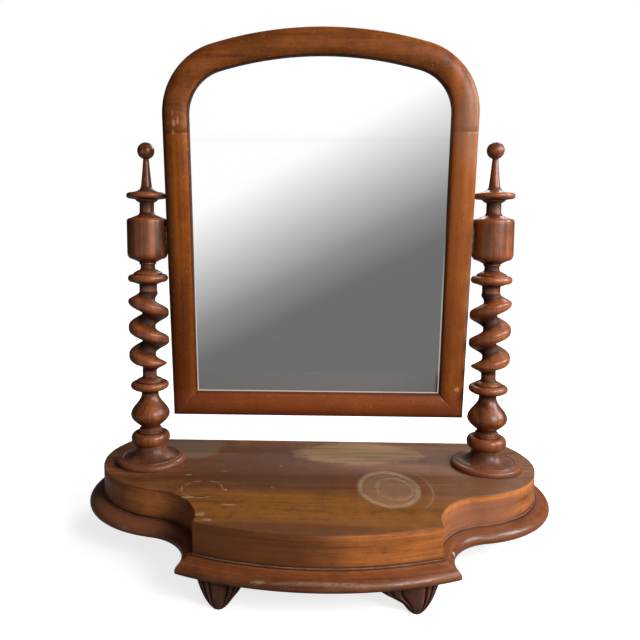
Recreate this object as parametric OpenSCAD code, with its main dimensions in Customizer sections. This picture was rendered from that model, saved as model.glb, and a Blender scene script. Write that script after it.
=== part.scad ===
// Dressing table mirror of the 19th century: an arched swing mirror between two
// twist-turned posts, on a serpentine box base with a moulded board and short feet.
// Millimetres, +Z up, the front faces -Y. The origin is on the floor, under the middle of the base.

/* [Base outline] */
// Distance between the axes of the two posts
post_spacing = 450; // [430:1:480]
// Half width of the bowed front, from the middle to its sharp corner
corner_half = 134; // [120:1:145]
// How far the front corners lie in front of the post axes
corner_reach = 178; // [165:1:195]
// Rise of the bowed front above the line through its corners
bow_rise = 25; // [15:1:40]
// Radius of the hollow between a front corner and the rounded end
hollow_r = 78; // [68:1:90]
// Radius of the rounded ends
lobe_r = 121; // [112:1:130]
// How far the centre of a rounded end lies inside the post axis
lobe_inset = 56; // [46:1:64]
// How far the centre of a rounded end lies behind the post axis
lobe_back = 20; // [12:1:28]
// How far the straight back lies behind the post axes
back_reach = 89; // [82:1:100]

/* [Base board] */
// Thickness of the moulded board
board_t = 15; // [12:0.5:22]
// How far the board stands out past the rounded ends of the plinth
board_overhang = 19; // [12:0.5:24]
// How far the board stands out past the plinth in the middle of the front
board_front = 23; // [14:0.5:28]
// How far the board stands out past the plinth in the hollows
board_hollow = 16; // [10:0.5:22]
// How far a sharp corner of the board lies beside the plinth's corner
board_tip_side = 16.5; // [10:0.5:22]
// How far a sharp corner of the board lies in front of the plinth's corner
board_tip_front = 17.5; // [10:0.5:22]
// How far the board stands out past the plinth at the back
board_back_overhang = 8; // [2:0.5:14]
// Width of the flat fillet between the plinth and the moulding
board_fillet = 1.6; // [1:0.1:3]
// Height of the widest line of the moulding above the underside
board_nose_h = 4.2; // [3:0.1:6]

/* [Plinth] */
// Height of the plinth, from the board to the face of its top
plinth_h = 36; // [30:1:50]
// Thickness of the plinth's panels
plinth_wall = 10; // [8:0.5:14]
// Thickness of the top board
top_t = 7; // [5:0.5:9]
// Side of a glue block
glue_block = 18; // [14:1:22]
// Side of the thick block that holds the spigot of a post
post_block = 56; // [46:1:66]

/* [Feet] */
// Height of the feet
foot_h = 36; // [30:1:46]
// Half width of a carved foot under the board
foot_half_w = 26; // [22:1:28]
// Reach of the carved wing of the right foot, from the middle of that foot
foot_wing_right = 46; // [28:1:50]
// Reach of the carved wing of the left foot, from the middle of that foot
foot_wing_left = 30; // [28:1:50]
// Depth of a carved foot, front to back
foot_depth = 34; // [33:1:42]
// Distance of a carved foot from the middle of the front
foot_front_x = 104; // [95:1:112]
// How far a carved foot stands back from the edge of the board
foot_setback = 9; // [7:0.5:16]
// Depth of the carved flutes
flute_depth = 3; // [1:0.1:3.4]
// Diameter of a turned back foot
foot_back_d = 40; // [32:1:50]
// Diameter of the flat that a foot stands on
foot_pad_d = 12; // [8:1:16]
// Diameter of the peg on top of a foot
foot_peg_d = 14; // [10:1:16]
// Length of that peg
foot_peg_l = 10; // [6:1:11]

/* [Posts] */
// Diameter of the turned disc under a post
base_d = 91; // [80:1:100]
// Height of that disc with its cove
base_h = 24; // [20:1:30]
// Diameter of the cushion moulding above the disc
cushion_d = 51; // [44:1:56]
// Height of that cushion
cushion_h = 18; // [14:1:24]
// Height of the steps between the cushion and the vase
step_h = 7; // [5:0.5:10]
// Diameter of the vase
vase_d = 51; // [42:1:54]
// Height of the vase, up to its neck
vase_h = 48; // [40:1:56]
// Diameter of the collar above the vase
collar_d = 50; // [42:1:54]
// Height of that collar with the small ring on it
collar_t = 17; // [14:0.5:21]
// Length of the neck above the collar
low_neck_h = 10; // [8:0.5:16]
// Length of the twist
twist_h = 108; // [90:1:125]
// Diameter over the ridge of the twist
twist_d = 52.5; // [44:0.5:54]
// Diameter of the core at the bottom of the hollow
twist_core_d = 17.5; // [15:0.5:24]
// Rise of the ridge in one turn
twist_pitch = 37; // [32:0.5:50]
// Direction of the ridge where the twist begins at the bottom
twist_start = 126; // [0:1:360]
// Length of the neck above the twist
high_neck_h = 7; // [5:0.5:14]
// Diameter of the ring under the drum
ring_d = 52; // [44:1:54]
// Thickness of that ring
ring_t = 20; // [15:0.5:24]
// Length of the neck between the ring and the drum
ring_neck_h = 10; // [8:0.5:18]
// Diameter of the drum that carries the mirror
drum_d = 52; // [46:1:56]
// Height of the drum, with its rounded ends
drum_h = 63; // [54:1:72]
// Length of the neck between the drum and the flange
flange_neck_h = 18; // [13:1:26]
// Diameter of the flange under the finial
flange_d = 52; // [42:1:54]
// Thickness of that flange
flange_t = 16; // [11:0.5:18]
// Height of the spire, from the flange to the ball
spire_h = 38; // [30:1:50]
// Diameter of the ball
ball_d = 22; // [16:0.5:24]
// Diameter of the necks between the mouldings
neck_d = 18.6; // [17:0.2:22]
// Diameter of the spigot at the foot of a post
spigot_d = 22; // [18:1:26]

/* [Mirror frame] */
// Width of the frame's moulding
frame_w = 33; // [30:0.5:40]
// Height of the flat edge of the frame, front to back
frame_edge = 14; // [13:0.5:20]
// Rise of the rounded front of the moulding
frame_dome = 9; // [6:0.5:12]
// Depth of the frame below the axis of the swivels
frame_below = 242; // [225:1:255]
// Height above the swivels at which the stiles meet the arch
joint_up = 135; // [110:1:138]
// Height above the swivels at which the sides begin to bend
spring_up = 156; // [150:1:165]
// Outer radius of the shoulders of the arch
shoulder_r = 88; // [70:1:100]
// Outer radius of the crown of the arch
crown_r = 490; // [420:5:600]
// Lean of the frame at rest, top forward
rest_tilt = 6.5; // [0:0.5:15]
// Diameter of the dowels in the joints of the arch
dowel_d = 6; // [5:0.5:7]
// Length of those dowels
dowel_l = 32; // [24:1:40]
// Thickness of the keys in the bottom corners
key_t = 3; // [2:0.5:4]
// Width of those keys across the corner
key_w = 20; // [14:1:24]

/* [Glass and back] */
// Width of the rebate behind the lip of the frame
rebate_w = 8; // [6:0.5:10]
// Thickness of the lip in front of the glass
lip_t = 4; // [3:0.5:5]
// Thickness of the glass
glass_t = 3; // [2:0.5:4]
// Space round the glass in its rebate
glass_play = 1; // [0.5:0.1:1.5]
// Length of the blocks that hold the glass
block_l = 24; // [16:1:34]
// Width of those blocks
block_w = 6; // [4:0.5:8]
// Thickness of the backboard
backboard_t = 4; // [3:0.5:6]
// How far the backboard laps over the back of the frame
backboard_lap = 7; // [5:0.5:9]
// Diameter of the backboard's pins
pin_d = 1.4; // [1.2:0.1:2]
// Length of those pins under the head
pin_l = 11; // [9:0.5:12]

/* [Swivels and screws] */
// Thickness of the brass plates
plate_t = 1.6; // [1.2:0.1:2.2]
// Width of the brass plates
plate_w = 12; // [11:0.5:13]
// Height of the brass plates
plate_h = 34; // [30:1:38]
// Diameter of the stud that the mirror swings on
stud_d = 8; // [6:0.5:9]
// Length of that stud
stud_l = 14; // [10:0.5:16]
// Wall of the brass socket round the stud
socket_wall = 1.2; // [0.8:0.1:1.5]
// Diameter of the shank that holds the stud in the drum
shank_d = 6; // [5:0.5:7]
// Length of that shank
shank_l = 16; // [12:1:20]
// Space between the two plates of a swivel
swivel_gap = 0.3; // [0.2:0.05:0.6]
// Radial clearance of the stud in its socket
stud_play = 0.05; // [0.03:0.01:0.1]
// Radial clearance of glued and screwed pieces in their holes
fit_play = 0.05; // [0.02:0.01:0.1]
// Diameter of the small screws of the plates
plate_screw_d = 2.8; // [2.4:0.1:3.2]
// Length of the small screws of the plates
plate_screw_l = 13; // [9:1:16]
// Diameter of the screws under the base
base_screw_d = 4; // [3:0.5:5]
// Length of the screws under the base
base_screw_l = 34; // [26:1:40]
// Diameter of the screws that pull the posts down
post_screw_d = 5; // [4:0.5:6]
// Length of the screws that pull the posts down
post_screw_l = 42; // [30:1:46]

/* [Hidden] */
$fn = 96;
tiny = 0.01;
mahogany = "#8a4a22";
red_mahogany = "#7a3b26";
brown_mahogany = "#5e3a26";
pine = "#c79a63";
brass = "#b08d3c";
steel = "#8d8d90";

// heights above the floor
board_z = foot_h;
plinth_z = board_z + board_t;
top_z = plinth_z + plinth_h;
panel_h = plinth_h - top_t;

// heights above the plinth's top, from the bottom of a post upwards
cushion_z = base_h;
step_z = cushion_z + cushion_h;
vase_z = step_z + step_h;
collar_z = vase_z + vase_h;
low_neck_z = collar_z + collar_t;
twist_z = low_neck_z + low_neck_h;
high_neck_z = twist_z + twist_h;
ring_z = high_neck_z + high_neck_h;
ring_neck_z = ring_z + ring_t;
drum_z = ring_neck_z + ring_neck_h;
flange_neck_z = drum_z + drum_h;
flange_z = flange_neck_z + flange_neck_h;
spire_z = flange_z + flange_t;
ball_z = spire_z + spire_h + ball_d / 2 - 1;
pivot_z = top_z + drum_z + drum_h / 2;
neck_r = neck_d / 2;

// the two outlines lie on the floor with the post axes on y = 0, and the whole is then centred
front_y = -corner_reach - bow_rise - board_front;
back_y = back_reach + board_back_overhang;
post_y = -(front_y + back_y) / 2;

// Point where two circles cross, on the left (side 1) or right (side -1) of the way between them
function cross_point(c1, r1, c2, r2, side) =
    let (way = c2 - c1, d = norm(way), a = (r1 * r1 - r2 * r2 + d * d) / (2 * d), h = sqrt(r1 * r1 - a * a))
    c1 + a * way / d + side * h * [-way.y, way.x] / d;

corner = [corner_half, -corner_reach];
bow_r = (corner_half * corner_half + bow_rise * bow_rise) / (2 * bow_rise);
bow_c = [0, bow_r - corner_reach - bow_rise];
lobe_c = [post_spacing / 2 - lobe_inset, lobe_back];
hollow_c = cross_point(corner, hollow_r, lobe_c, hollow_r + lobe_r, -1);

// The outline may be grown by g. Inside the plinth it shrinks evenly. Outside, the front, the corners
// and the hollows have overhangs of their own, which are reached at g = board_overhang.
function own(g, overhang) = g > 0 ? g * overhang / board_overhang : g;
function tip(g) = g > 0
    ? corner + g / board_overhang * [board_tip_side, -board_tip_front]
    : cross_point(bow_c, bow_r + g, hollow_c, hollow_r - g, -1);
function bow_reach(g) = corner_reach + bow_rise + own(g, board_front);
function bow_radius(g) = let (t = tip(g), rise = bow_reach(g) + t.y) (t.x * t.x + rise * rise) / (2 * rise);
function back_end(g, gb) =
    [lobe_c.x + sqrt(pow(lobe_r + g, 2) - pow(back_reach + gb - lobe_c.y, 2)), back_reach + gb];
function arc(c, r, a0, a1, n, first = 0) =
    [for (i = [first:n]) c + r * [cos(a0 + (a1 - a0) * i / n), sin(a0 + (a1 - a0) * i / n)]];
function turn_of(v) = atan2(v.y, v.x);

// Right half of the outline as points, from the middle of the front to the back:
// the bow, the hollow and the rounded end
bow_n = 14;
hollow_n = 16;
lobe_n = 28;
back_n = bow_n + hollow_n + lobe_n;
function half_outline(g, gb) =
    let (
        t = tip(g),
        e = back_end(g, gb),
        bow = bow_radius(g),
        bow_mid = [0, bow - bow_reach(g)],
        hollow = hollow_r - own(g, board_hollow),
        hollow_mid = cross_point(t, hollow, lobe_c, hollow + lobe_r + g, -1),
        join = turn_of(lobe_c - hollow_mid))
    concat(
        arc(bow_mid, bow, -90, turn_of(t - bow_mid), bow_n),
        arc(hollow_mid, hollow, 180 + turn_of(hollow_mid - t), join, hollow_n, 1),
        arc(lobe_c, lobe_r + g, join - 180, turn_of(e - lobe_c), lobe_n, 1));
function flip(v) = [-v.x, v.y];
function outline(g, gb) =
    let (half = half_outline(g, gb))
    concat(half, [for (i = [back_n:-1:1]) flip(half[i])]);

// A ring drawn in towards a point, to a share of its size
function draw_in(ring, c, share) = [for (p = ring) c + share * (p - c)];

// Skin of triangles over rings of points, with a flat face at each end
module loft(rings) {
    n = len(rings[0]);
    m = len(rings);
    sides = [for (k = [0:m - 2], i = [0:n - 1], half = [0, 1])
        let (a = k * n + i, b = k * n + (i + 1) % n)
        half == 0 ? [a, a + n, b] : [b, a + n, b + n]];
    polyhedron(
        points = [for (ring = rings, p = ring) p],
        faces = concat([[for (i = [0:n - 1]) i]], sides, [[for (i = [n - 1:-1:0]) (m - 1) * n + i]]));
}

// Moves a piece of the stand from the post axes to the shared frame
module stand(z = 0) translate([0, post_y, z]) children();
module both_sides() for (s = [-1, 1]) mirror([s < 0 ? 1 : 0, 0, 0]) children();

// Places of the fixings under the base
screw_x = corner_half * 0.45;
front_block_reach = sqrt(pow(bow_r - plinth_wall, 2) - pow(screw_x + glue_block / 2, 2));
front_block_y = bow_c.y - front_block_reach + glue_block / 2 + 0.3;
back_block_y = back_reach - plinth_wall - glue_block / 2;
lobe_block_r = sqrt(pow(lobe_r - plinth_wall, 2) - pow(glue_block / 2, 2)) - glue_block / 2 - 0.3;
lobe_block_a = -46;
back_foot = [post_spacing / 2 - 25, back_reach - foot_back_d / 2 - 18];
front_foot_y = let (r = bow_radius(board_overhang))
    r + front_y - sqrt(pow(r, 2) - pow(foot_front_x, 2)) + foot_setback;
// A carved foot's peg stands in the flat board, 1 mm clear of the moulding in front of it
front_peg_y = let (
        r = bow_radius(board_fillet),
        peg_side = foot_peg_d / 2 + fit_play,
        edge_y = r - bow_reach(board_fillet) - sqrt(pow(r, 2) - pow(foot_front_x + peg_side, 2)))
    edge_y + peg_side + 1;
front_peg_back = front_peg_y - front_foot_y;
lobe_block = lobe_c + lobe_block_r * [cos(lobe_block_a), sin(lobe_block_a)];
glue_spots = [
    [screw_x, front_block_y, 0],
    [screw_x, back_block_y, 0],
    [lobe_block.x, lobe_block.y, lobe_block_a]];

// Wood screw with a countersunk slotted head, its point upwards and its head's face on z = 0
module wood_screw(d, l) difference() {
    rotate_extrude() polygon([[0, 0], [d, 0], [d / 2, d * 0.6], [d / 2, l - d], [0, l]]);
    translate([-2 * d, -d * 0.12, -d]) cube([4 * d, d * 0.24, d * 1.3]);
}
// Room for that screw
module screw_room(d, l) {
    r = d / 2 + fit_play;
    head = d + fit_play;
    rotate_extrude() polygon([[0, -1], [head, -1], [head, 0], [r, d * 0.6], [r, l - d], [0, l + 0.3]]);
}

module base_board() color(red_mahogany) stand(board_z) difference() {
    linear_extrude(board_t) polygon(outline(board_fillet, board_back_overhang));
    both_sides() {
        for (q = glue_spots) translate([q.x, q.y, 0]) screw_room(base_screw_d, base_screw_l);
        translate([post_spacing / 2, 0, 0]) screw_room(post_screw_d, post_screw_l);
        for (q = [back_foot, [foot_front_x, front_peg_y]])
            translate([q.x, q.y, -1]) cylinder(d = foot_peg_d + 2 * fit_play, h = foot_peg_l + 1.5);
    }
}

// Moulding round the board's front and ends, from its right back end to its left one
module board_moulding() {
    nose = board_overhang - board_fillet;
    rise = board_t - board_nose_h - 1;
    profile = concat(
        [[board_fillet, 0]],
        [for (i = [0:3]) [board_overhang - 2.5 + 2.5 * sin(30 * i), board_nose_h * (1 - cos(30 * i))]],
        [for (i = [1:7]) let (a = 90 * i / 7) [board_fillet + nose * cos(a), board_nose_h + rise * sin(a)]]);
    halves = [for (v = profile) half_outline(v[0], board_back_overhang)];
    rings = [for (j = [-back_n:back_n])
        [for (i = [0:len(profile) - 1])
            let (q = halves[i][abs(j)])
            [j < 0 ? q.x : -q.x, q.y, profile[i][1]]]];
    color(red_mahogany) stand(board_z) loft(rings);
}

// Walls of the plinth, between the outline and the same outline drawn in
plinth_outer = half_outline(0, 0);
plinth_inner = half_outline(-plinth_wall, -plinth_wall);
module plinth_front() color(mahogany) stand(plinth_z) linear_extrude(panel_h) polygon(concat(
    [for (i = [bow_n:-1:1]) flip(plinth_outer[i])],
    [for (i = [0:bow_n]) plinth_outer[i]],
    [for (i = [bow_n:-1:0]) plinth_inner[i]],
    [for (i = [1:bow_n]) flip(plinth_inner[i])]));
module plinth_side() linear_extrude(panel_h) polygon(concat(
    [for (i = [bow_n:back_n]) plinth_outer[i]],
    [[plinth_inner[back_n].x, back_reach]],
    [for (i = [back_n:-1:bow_n]) plinth_inner[i]]));
module plinth_side_right() color(mahogany) stand(plinth_z) plinth_side();
module plinth_side_left() color(mahogany) stand(plinth_z) mirror([1, 0, 0]) plinth_side();
module plinth_back() color(pine) stand(plinth_z)
    translate([-plinth_inner[back_n].x, back_reach - plinth_wall, 0])
        cube([2 * plinth_inner[back_n].x, plinth_wall, panel_h]);

module top_board() color(mahogany) stand(plinth_z + panel_h) difference() {
    linear_extrude(top_t) polygon(outline(0, 0));
    both_sides() translate([post_spacing / 2, 0, -1]) cylinder(d = spigot_d + 2 * fit_play, h = top_t + 2);
}

module post_blocks() color(pine) stand(plinth_z) both_sides()
    translate([post_spacing / 2, 0, 0]) difference() {
        translate([-post_block / 2, -post_block / 2, 0]) cube([post_block, post_block, panel_h]);
        translate([0, 0, -1]) cylinder(d = spigot_d + 2 * fit_play, h = panel_h + 2);
    }
module glue_blocks() color(pine) stand(plinth_z) both_sides() for (q = glue_spots) difference() {
    translate([q.x, q.y, 0]) rotate([0, 0, q[2]])
        translate([-glue_block / 2, -glue_block / 2, 0]) cube([glue_block, glue_block, panel_h]);
    translate([q.x, q.y, -board_t]) screw_room(base_screw_d, base_screw_l);
}
module base_screws() color(steel) stand(board_z) both_sides() for (q = glue_spots)
    translate([q.x, q.y, 0]) wood_screw(base_screw_d, base_screw_l);
module post_screws() color(steel) stand(board_z) both_sides()
    translate([post_spacing / 2, 0, 0]) wood_screw(post_screw_d, post_screw_l);

// Half width of a carved foot at a height, and the sweep of its wing, both as shares
function foot_share(t) = pow(0.02 + 0.98 * t, 0.45);
function wing_share(t) = smooth_step((t - 0.2) / 0.48);
// Right half of a foot's front, from the middle: rounded lobes with a sharp groove between each two.
// Each point is [share of the half width, share of the groove's depth].
function foot_lobes(t) =
    let (edge = [0.5 - 0.16 * t, 0.69 - 0.05 * t, 0.86 - 0.02 * t, 1])
    concat(
        [for (i = [0:6]) [edge[0] * i / 6, pow(i / 6, 5)]],
        [for (k = [1:3], i = [1:5])
            [edge[k - 1] + (edge[k] - edge[k - 1]) * i / 5, pow(abs(i / 2.5 - 1), 3)]]);

// Carved front foot, its wing towards -X, standing on z = 0, with its front face on y = 0.
// The flutes run out just under the board, and the last ring lies in the flat top, under the peg.
module carved_foot(wing) {
    steps = 14;
    peg_c = [0, front_peg_back, foot_h];
    rings = [for (k = [0:steps]) let (
            t = k / steps,
            share = foot_share(t),
            right = foot_half_w * share,
            left = right + (wing - foot_half_w) * wing_share(t),
            front = foot_depth * 0.16 * pow(1 - t, 2),
            back = foot_depth * (0.62 + 0.38 * t),
            lobes = foot_lobes(t),
            near = [for (v = lobes) front + foot_depth * 0.5 * share * (1 - sqrt(max(0, 1 - pow(v[0], 2.6))))
                + (k < steps ? flute_depth * v[1] * min(1, 0.25 + 2 * t) : 0)])
        concat(
            [for (i = [len(lobes) - 1:-1:1]) [-left * lobes[i][0], near[i], t * foot_h]],
            [for (i = [0:len(lobes) - 1]) [right * lobes[i][0], near[i], t * foot_h]],
            [[right, back, t * foot_h], [-left, back, t * foot_h]])];
    loft(concat(rings, [draw_in(rings[steps], peg_c, 0.1)]));
    translate([0, front_peg_back, foot_h - 1]) cylinder(d = foot_peg_d, h = foot_peg_l + 1);
}
module foot_front_right() color(brown_mahogany) stand() translate([foot_front_x, front_foot_y, 0])
    carved_foot(foot_wing_right);
module foot_front_left() color(brown_mahogany) stand() mirror([1, 0, 0])
    translate([foot_front_x, front_foot_y, 0]) carved_foot(foot_wing_left);

// Turned back foot with its peg
module back_foot_turning() {
    r = foot_back_d / 2;
    pad = foot_pad_d / 2;
    rotate_extrude() polygon(concat(
        [[0, 0], [pad, 0]],
        [for (i = [1:8]) [pad + (r - pad) * sin(90 * i / 8), foot_h * 0.62 * (1 - cos(90 * i / 8))]],
        [[r, foot_h * 0.72], [r * 0.82, foot_h * 0.8], [r * 0.82, foot_h * 0.86], [r * 0.95, foot_h * 0.9],
            [r * 0.95, foot_h], [foot_peg_d / 2, foot_h], [foot_peg_d / 2, foot_h + foot_peg_l],
            [0, foot_h + foot_peg_l]]));
}
module foot_back_right() color(brown_mahogany) stand()
    translate([back_foot.x, back_foot.y, 0]) back_foot_turning();
module foot_back_left() color(brown_mahogany) stand()
    translate([-back_foot.x, back_foot.y, 0]) back_foot_turning();

// Curves of a turned outline, as points [radius, height]
function bead(r, out, z, h, n = 10) =
    [for (i = [0:n]) [r + out * cos(180 * i / n - 90), z + h / 2 * sin(180 * i / n - 90)]];
// Rounded edge of a disc
function rim(r, z, e, n = 8) =
    [for (i = [0:n]) [r - e + e * cos(150 * i / n - 75), z + e * sin(150 * i / n - 75)]];
// Quarter curve that leaves the first point upwards and reaches the second point sideways
function rise_out(r0, z0, r1, z1, n = 6) =
    [for (i = [0:n]) [r0 + (r1 - r0) * (1 - cos(90 * i / n)), z0 + (z1 - z0) * sin(90 * i / n)]];
// Quarter curve that leaves the first point sideways and reaches the second point upwards
function out_rise(r0, z0, r1, z1, n = 6) =
    [for (i = [0:n]) [r0 + (r1 - r0) * sin(90 * i / n), z0 + (z1 - z0) * (1 - cos(90 * i / n))]];

module post_base() {
    r = base_d / 2;
    hole = spigot_d / 2 + fit_play;
    edge = base_h * 0.14;
    line_z = base_h * 0.31;
    foot = cushion_d / 2 - 7;
    rotate_extrude() polygon(concat(
        [[hole, 0], [r - 0.8, 0], [r, 0.8]],
        [for (i = [0:6]) [r - 7 + 7 * cos(15 * i), edge + (line_z - edge) * sin(15 * i)]],
        [[r - 7.3, line_z + 0.8], [r - 8.6, line_z + 0.8], [r - 9, line_z - 0.3]],
        out_rise(r - 10, line_z - 0.2, foot, base_h, 8),
        [[hole, base_h]]));
}
module post_base_right() color(red_mahogany) stand(top_z) translate([post_spacing / 2, 0, 0]) post_base();
module post_base_left() color(red_mahogany) stand(top_z) translate([-post_spacing / 2, 0, 0]) post_base();

// Lower turning: spigot, cushion, steps, vase, collar and the neck up into the twist
module lower_turning() {
    spigot_r = spigot_d / 2;
    spigot_l = plinth_h - 0.5;
    cushion_r = cushion_d / 2;
    vase_r = vase_d / 2;
    waist_r = neck_r + 2.5;
    vase_wide = vase_z + vase_h * 0.345;
    vase_neck = neck_r + 2;
    collar_r = collar_d / 2;
    collar_wide = collar_z + collar_t * 0.47;
    rotate_extrude() polygon(concat(
        [[0, -spigot_l], [spigot_r - 1, -spigot_l], [spigot_r, 1 - spigot_l], [spigot_r, cushion_z],
            [cushion_r - 6.5, cushion_z]],
        bead(cushion_r - 6, 6, cushion_z + cushion_h * 0.5, cushion_h * 0.88),
        [[cushion_r - 9, step_z - cushion_h * 0.08], [cushion_r - 9, step_z + 1], [waist_r + 3, step_z + 1.5],
            [waist_r + 3, step_z + step_h * 0.6], [waist_r + 1, step_z + step_h * 0.75], [waist_r, vase_z]],
        [for (i = [1:9]) let (foot_r = waist_r + 1, foot = vase_z + 1)
            [foot_r + (vase_r - foot_r) * sin(10 * i), foot + (vase_wide - foot) * i / 9]],
        [for (i = [1:9]) [vase_neck + (vase_r - vase_neck) * (1 + cos(20 * i)) / 2,
            vase_wide + (collar_z - 4 - vase_wide) * i / 9]],
        [[vase_neck, collar_z - 1], [neck_r + 4, collar_z + collar_t * 0.05],
            [collar_r - 5, collar_z + collar_t * 0.13]],
        rim(collar_r, collar_wide, collar_t * 0.29),
        [[collar_r - 7.5, collar_z + collar_t * 0.74], [collar_r - 7.5, collar_z + collar_t * 0.86],
            [collar_r - 8.6, collar_z + collar_t * 0.93], [neck_r + 4.4, low_neck_z + 0.2]],
        out_rise(neck_r + 3.4, low_neck_z + 0.6, neck_r, low_neck_z + 5, 4),
        [[neck_r, twist_z + 0.5], [0, twist_z + 0.5]]));
}

// Upper turning: from the twist up through the ring, the drum and the flange to the ball
module upper_turning() {
    wide_r = neck_r + 2.2;
    ring_r = ring_d / 2;
    ring_wide = ring_z + ring_t * 0.48;
    drum_r = drum_d / 2;
    drum_top = drum_z + drum_h;
    flange_r = flange_d / 2;
    flange_wide = flange_z + flange_t * 0.4;
    foot_r = neck_r - 2;
    spire_r = neck_r * 0.39;
    ball_r = ball_d / 2;
    ball_a = asin(spire_r / ball_r) - 90;
    rotate_extrude() polygon(concat(
        [[0, high_neck_z - 0.5], [wide_r, high_neck_z - 0.5], [wide_r, ring_z + ring_t * 0.06],
            [ring_r - 9, ring_z + ring_t * 0.17], [ring_r - 6, ring_z + ring_t * 0.22]],
        rim(ring_r, ring_wide, ring_t * 0.25),
        [[ring_r - 7, ring_z + ring_t * 0.72], [ring_r - 7, ring_z + ring_t * 0.8],
            [ring_r - 8.4, ring_z + ring_t * 0.87], [neck_r + 3.6, ring_neck_z]],
        out_rise(neck_r + 2.6, ring_neck_z + 0.4, neck_r, ring_neck_z + 4, 4),
        [[neck_r, drum_z - 2.6], [neck_r + 1.6, drum_z - 2], [neck_r + 1.6, drum_z - 0.6],
            [neck_r + 1, drum_z], [drum_r - 10.5, drum_z + 3], [drum_r - 7.4, drum_z + 4.4]],
        out_rise(drum_r - 6.4, drum_z + 4.8, drum_r, drum_z + 13, 6),
        rise_out(drum_r, drum_top - 9, drum_r - 4.6, drum_top - 4.6, 5),
        [[drum_r - 5.6, drum_top - 4.2], [drum_r - 11, drum_top - 2]],
        out_rise(drum_r - 12, drum_top - 1.4, neck_r, drum_top + 4.5, 4),
        [[neck_r, flange_z - 2.6], [neck_r + 3, flange_z - 1.2], [neck_r + 4.6, flange_z],
            [neck_r + 4.6, flange_z + 1.2], [flange_r - 8, flange_z + flange_t * 0.13]],
        rim(flange_r, flange_wide, flange_t * 0.24),
        [[neck_r + 7, flange_z + flange_t * 0.7], [neck_r + 2.5, flange_z + flange_t * 0.79],
            [neck_r, flange_z + flange_t * 0.88]],
        [for (i = [0:6]) [foot_r + (spire_r - foot_r) * pow(i / 6, 0.85), spire_z + 1 + (spire_h - 1) * i / 6]],
        [for (i = [1:14]) let (a = ball_a + (90 - ball_a) * i / 14)
            [i < 14 ? ball_r * cos(a) : 0, ball_z + ball_r * sin(a)]]));
}

// Twist: one rounded ridge wound round a core, faded at both ends into the necks
function smooth_step(t) = let (u = min(1, max(0, t))) u * u * (3 - 2 * u);
function ridge_r(z, a) = let (
        up = z - twist_z,
        down = high_neck_z - z,
        fade = smooth_step(up / 13) * smooth_step(down / 13),
        end_r = up < down ? neck_r - 0.4 : neck_r + 1.4,
        core = end_r + (twist_core_d / 2 - end_r) * fade,
        turn = a - twist_start - 360 * up / twist_pitch)
    core + (twist_d / 2 - core) * fade * pow(smooth_step((1 + cos(turn)) / 2), 1.15);
module twist() {
    rings = 56;
    sides = 28;
    loft([for (k = [0:rings]) let (z = twist_z + twist_h * k / rings)
        [for (i = [0:sides - 1]) let (a = 360 * i / sides, r = ridge_r(z, a)) [r * cos(a), r * sin(a), z]]]);
}

// Places of the two small screws of a plate, above and below the stud
plate_screw_up = plate_h / 2 - plate_screw_d * 1.5;

// Right post, with its axis on the Z axis and the mirror on its -X side
module post() {
    seat = drum_d / 2 - plate_t;
    axis_z = drum_z + drum_h / 2;
    difference() {
        union() {
            lower_turning();
            twist();
            upper_turning();
        }
        translate([-seat - plate_t - 1, -plate_w / 2 - fit_play, axis_z - plate_h / 2 - fit_play])
            cube([plate_t + 1, plate_w + 2 * fit_play, plate_h + 2 * fit_play]);
        translate([-seat - 1, 0, axis_z]) rotate([0, 90, 0])
            cylinder(d = shank_d + 2 * fit_play, h = shank_l + 1.5);
        for (s = [-1, 1]) translate([-drum_d / 2, 0, axis_z + s * plate_screw_up]) rotate([0, 90, 0])
            screw_room(plate_screw_d, plate_screw_l);
        translate([0, 0, board_z - top_z]) screw_room(post_screw_d, post_screw_l);
    }
}
module post_right() color(red_mahogany) stand(top_z) translate([post_spacing / 2, 0, 0]) post();
module post_left() color(red_mahogany) stand(top_z) mirror([1, 0, 0])
    translate([post_spacing / 2, 0, 0]) post();

// Brass plate let into the drum, with the stud on one side and its shank on the other
module post_swivel() translate([post_spacing / 2 - drum_d / 2, 0, 0]) difference() {
    union() {
        translate([0, -plate_w / 2, -plate_h / 2]) cube([plate_t, plate_w, plate_h]);
        translate([-stud_l, 0, 0]) rotate([0, 90, 0]) cylinder(d = stud_d, h = stud_l + tiny);
        translate([plate_t - tiny, 0, 0]) rotate([0, 90, 0]) cylinder(d = shank_d, h = shank_l + tiny);
    }
    for (s = [-1, 1]) translate([0, 0, s * plate_screw_up]) rotate([0, 90, 0])
        screw_room(plate_screw_d, plate_screw_l);
}
module post_swivel_right() color(brass) stand(pivot_z) post_swivel();
module post_swivel_left() color(brass) stand(pivot_z) mirror([1, 0, 0]) post_swivel();
module post_swivel_screws() color(steel) stand(pivot_z) both_sides() for (s = [-1, 1])
    translate([post_spacing / 2 - drum_d / 2, 0, s * plate_screw_up]) rotate([0, 90, 0])
        wood_screw(plate_screw_d, plate_screw_l);

// The mirror lies flat while it is built: X across, Y up the frame, Z towards the front.
// Its origin is on the axis of the swivels, in the middle of the frame's edge.
frame_half = post_spacing / 2 - drum_d / 2 - swivel_gap - plate_t;
glass_face = frame_edge / 2 - lip_t;
glass_back = glass_face - glass_t;
frame_back = -frame_edge / 2;
rebate_in = frame_w - rebate_w;
crown_c = [0, spring_up - sqrt(pow(crown_r - shoulder_r, 2) - pow(frame_half - shoulder_r, 2))];
crown_a = asin((frame_half - shoulder_r) / (crown_r - shoulder_r));
module hang() stand(pivot_z) rotate([90 + rest_tilt, 0, 0]) children();

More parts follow.
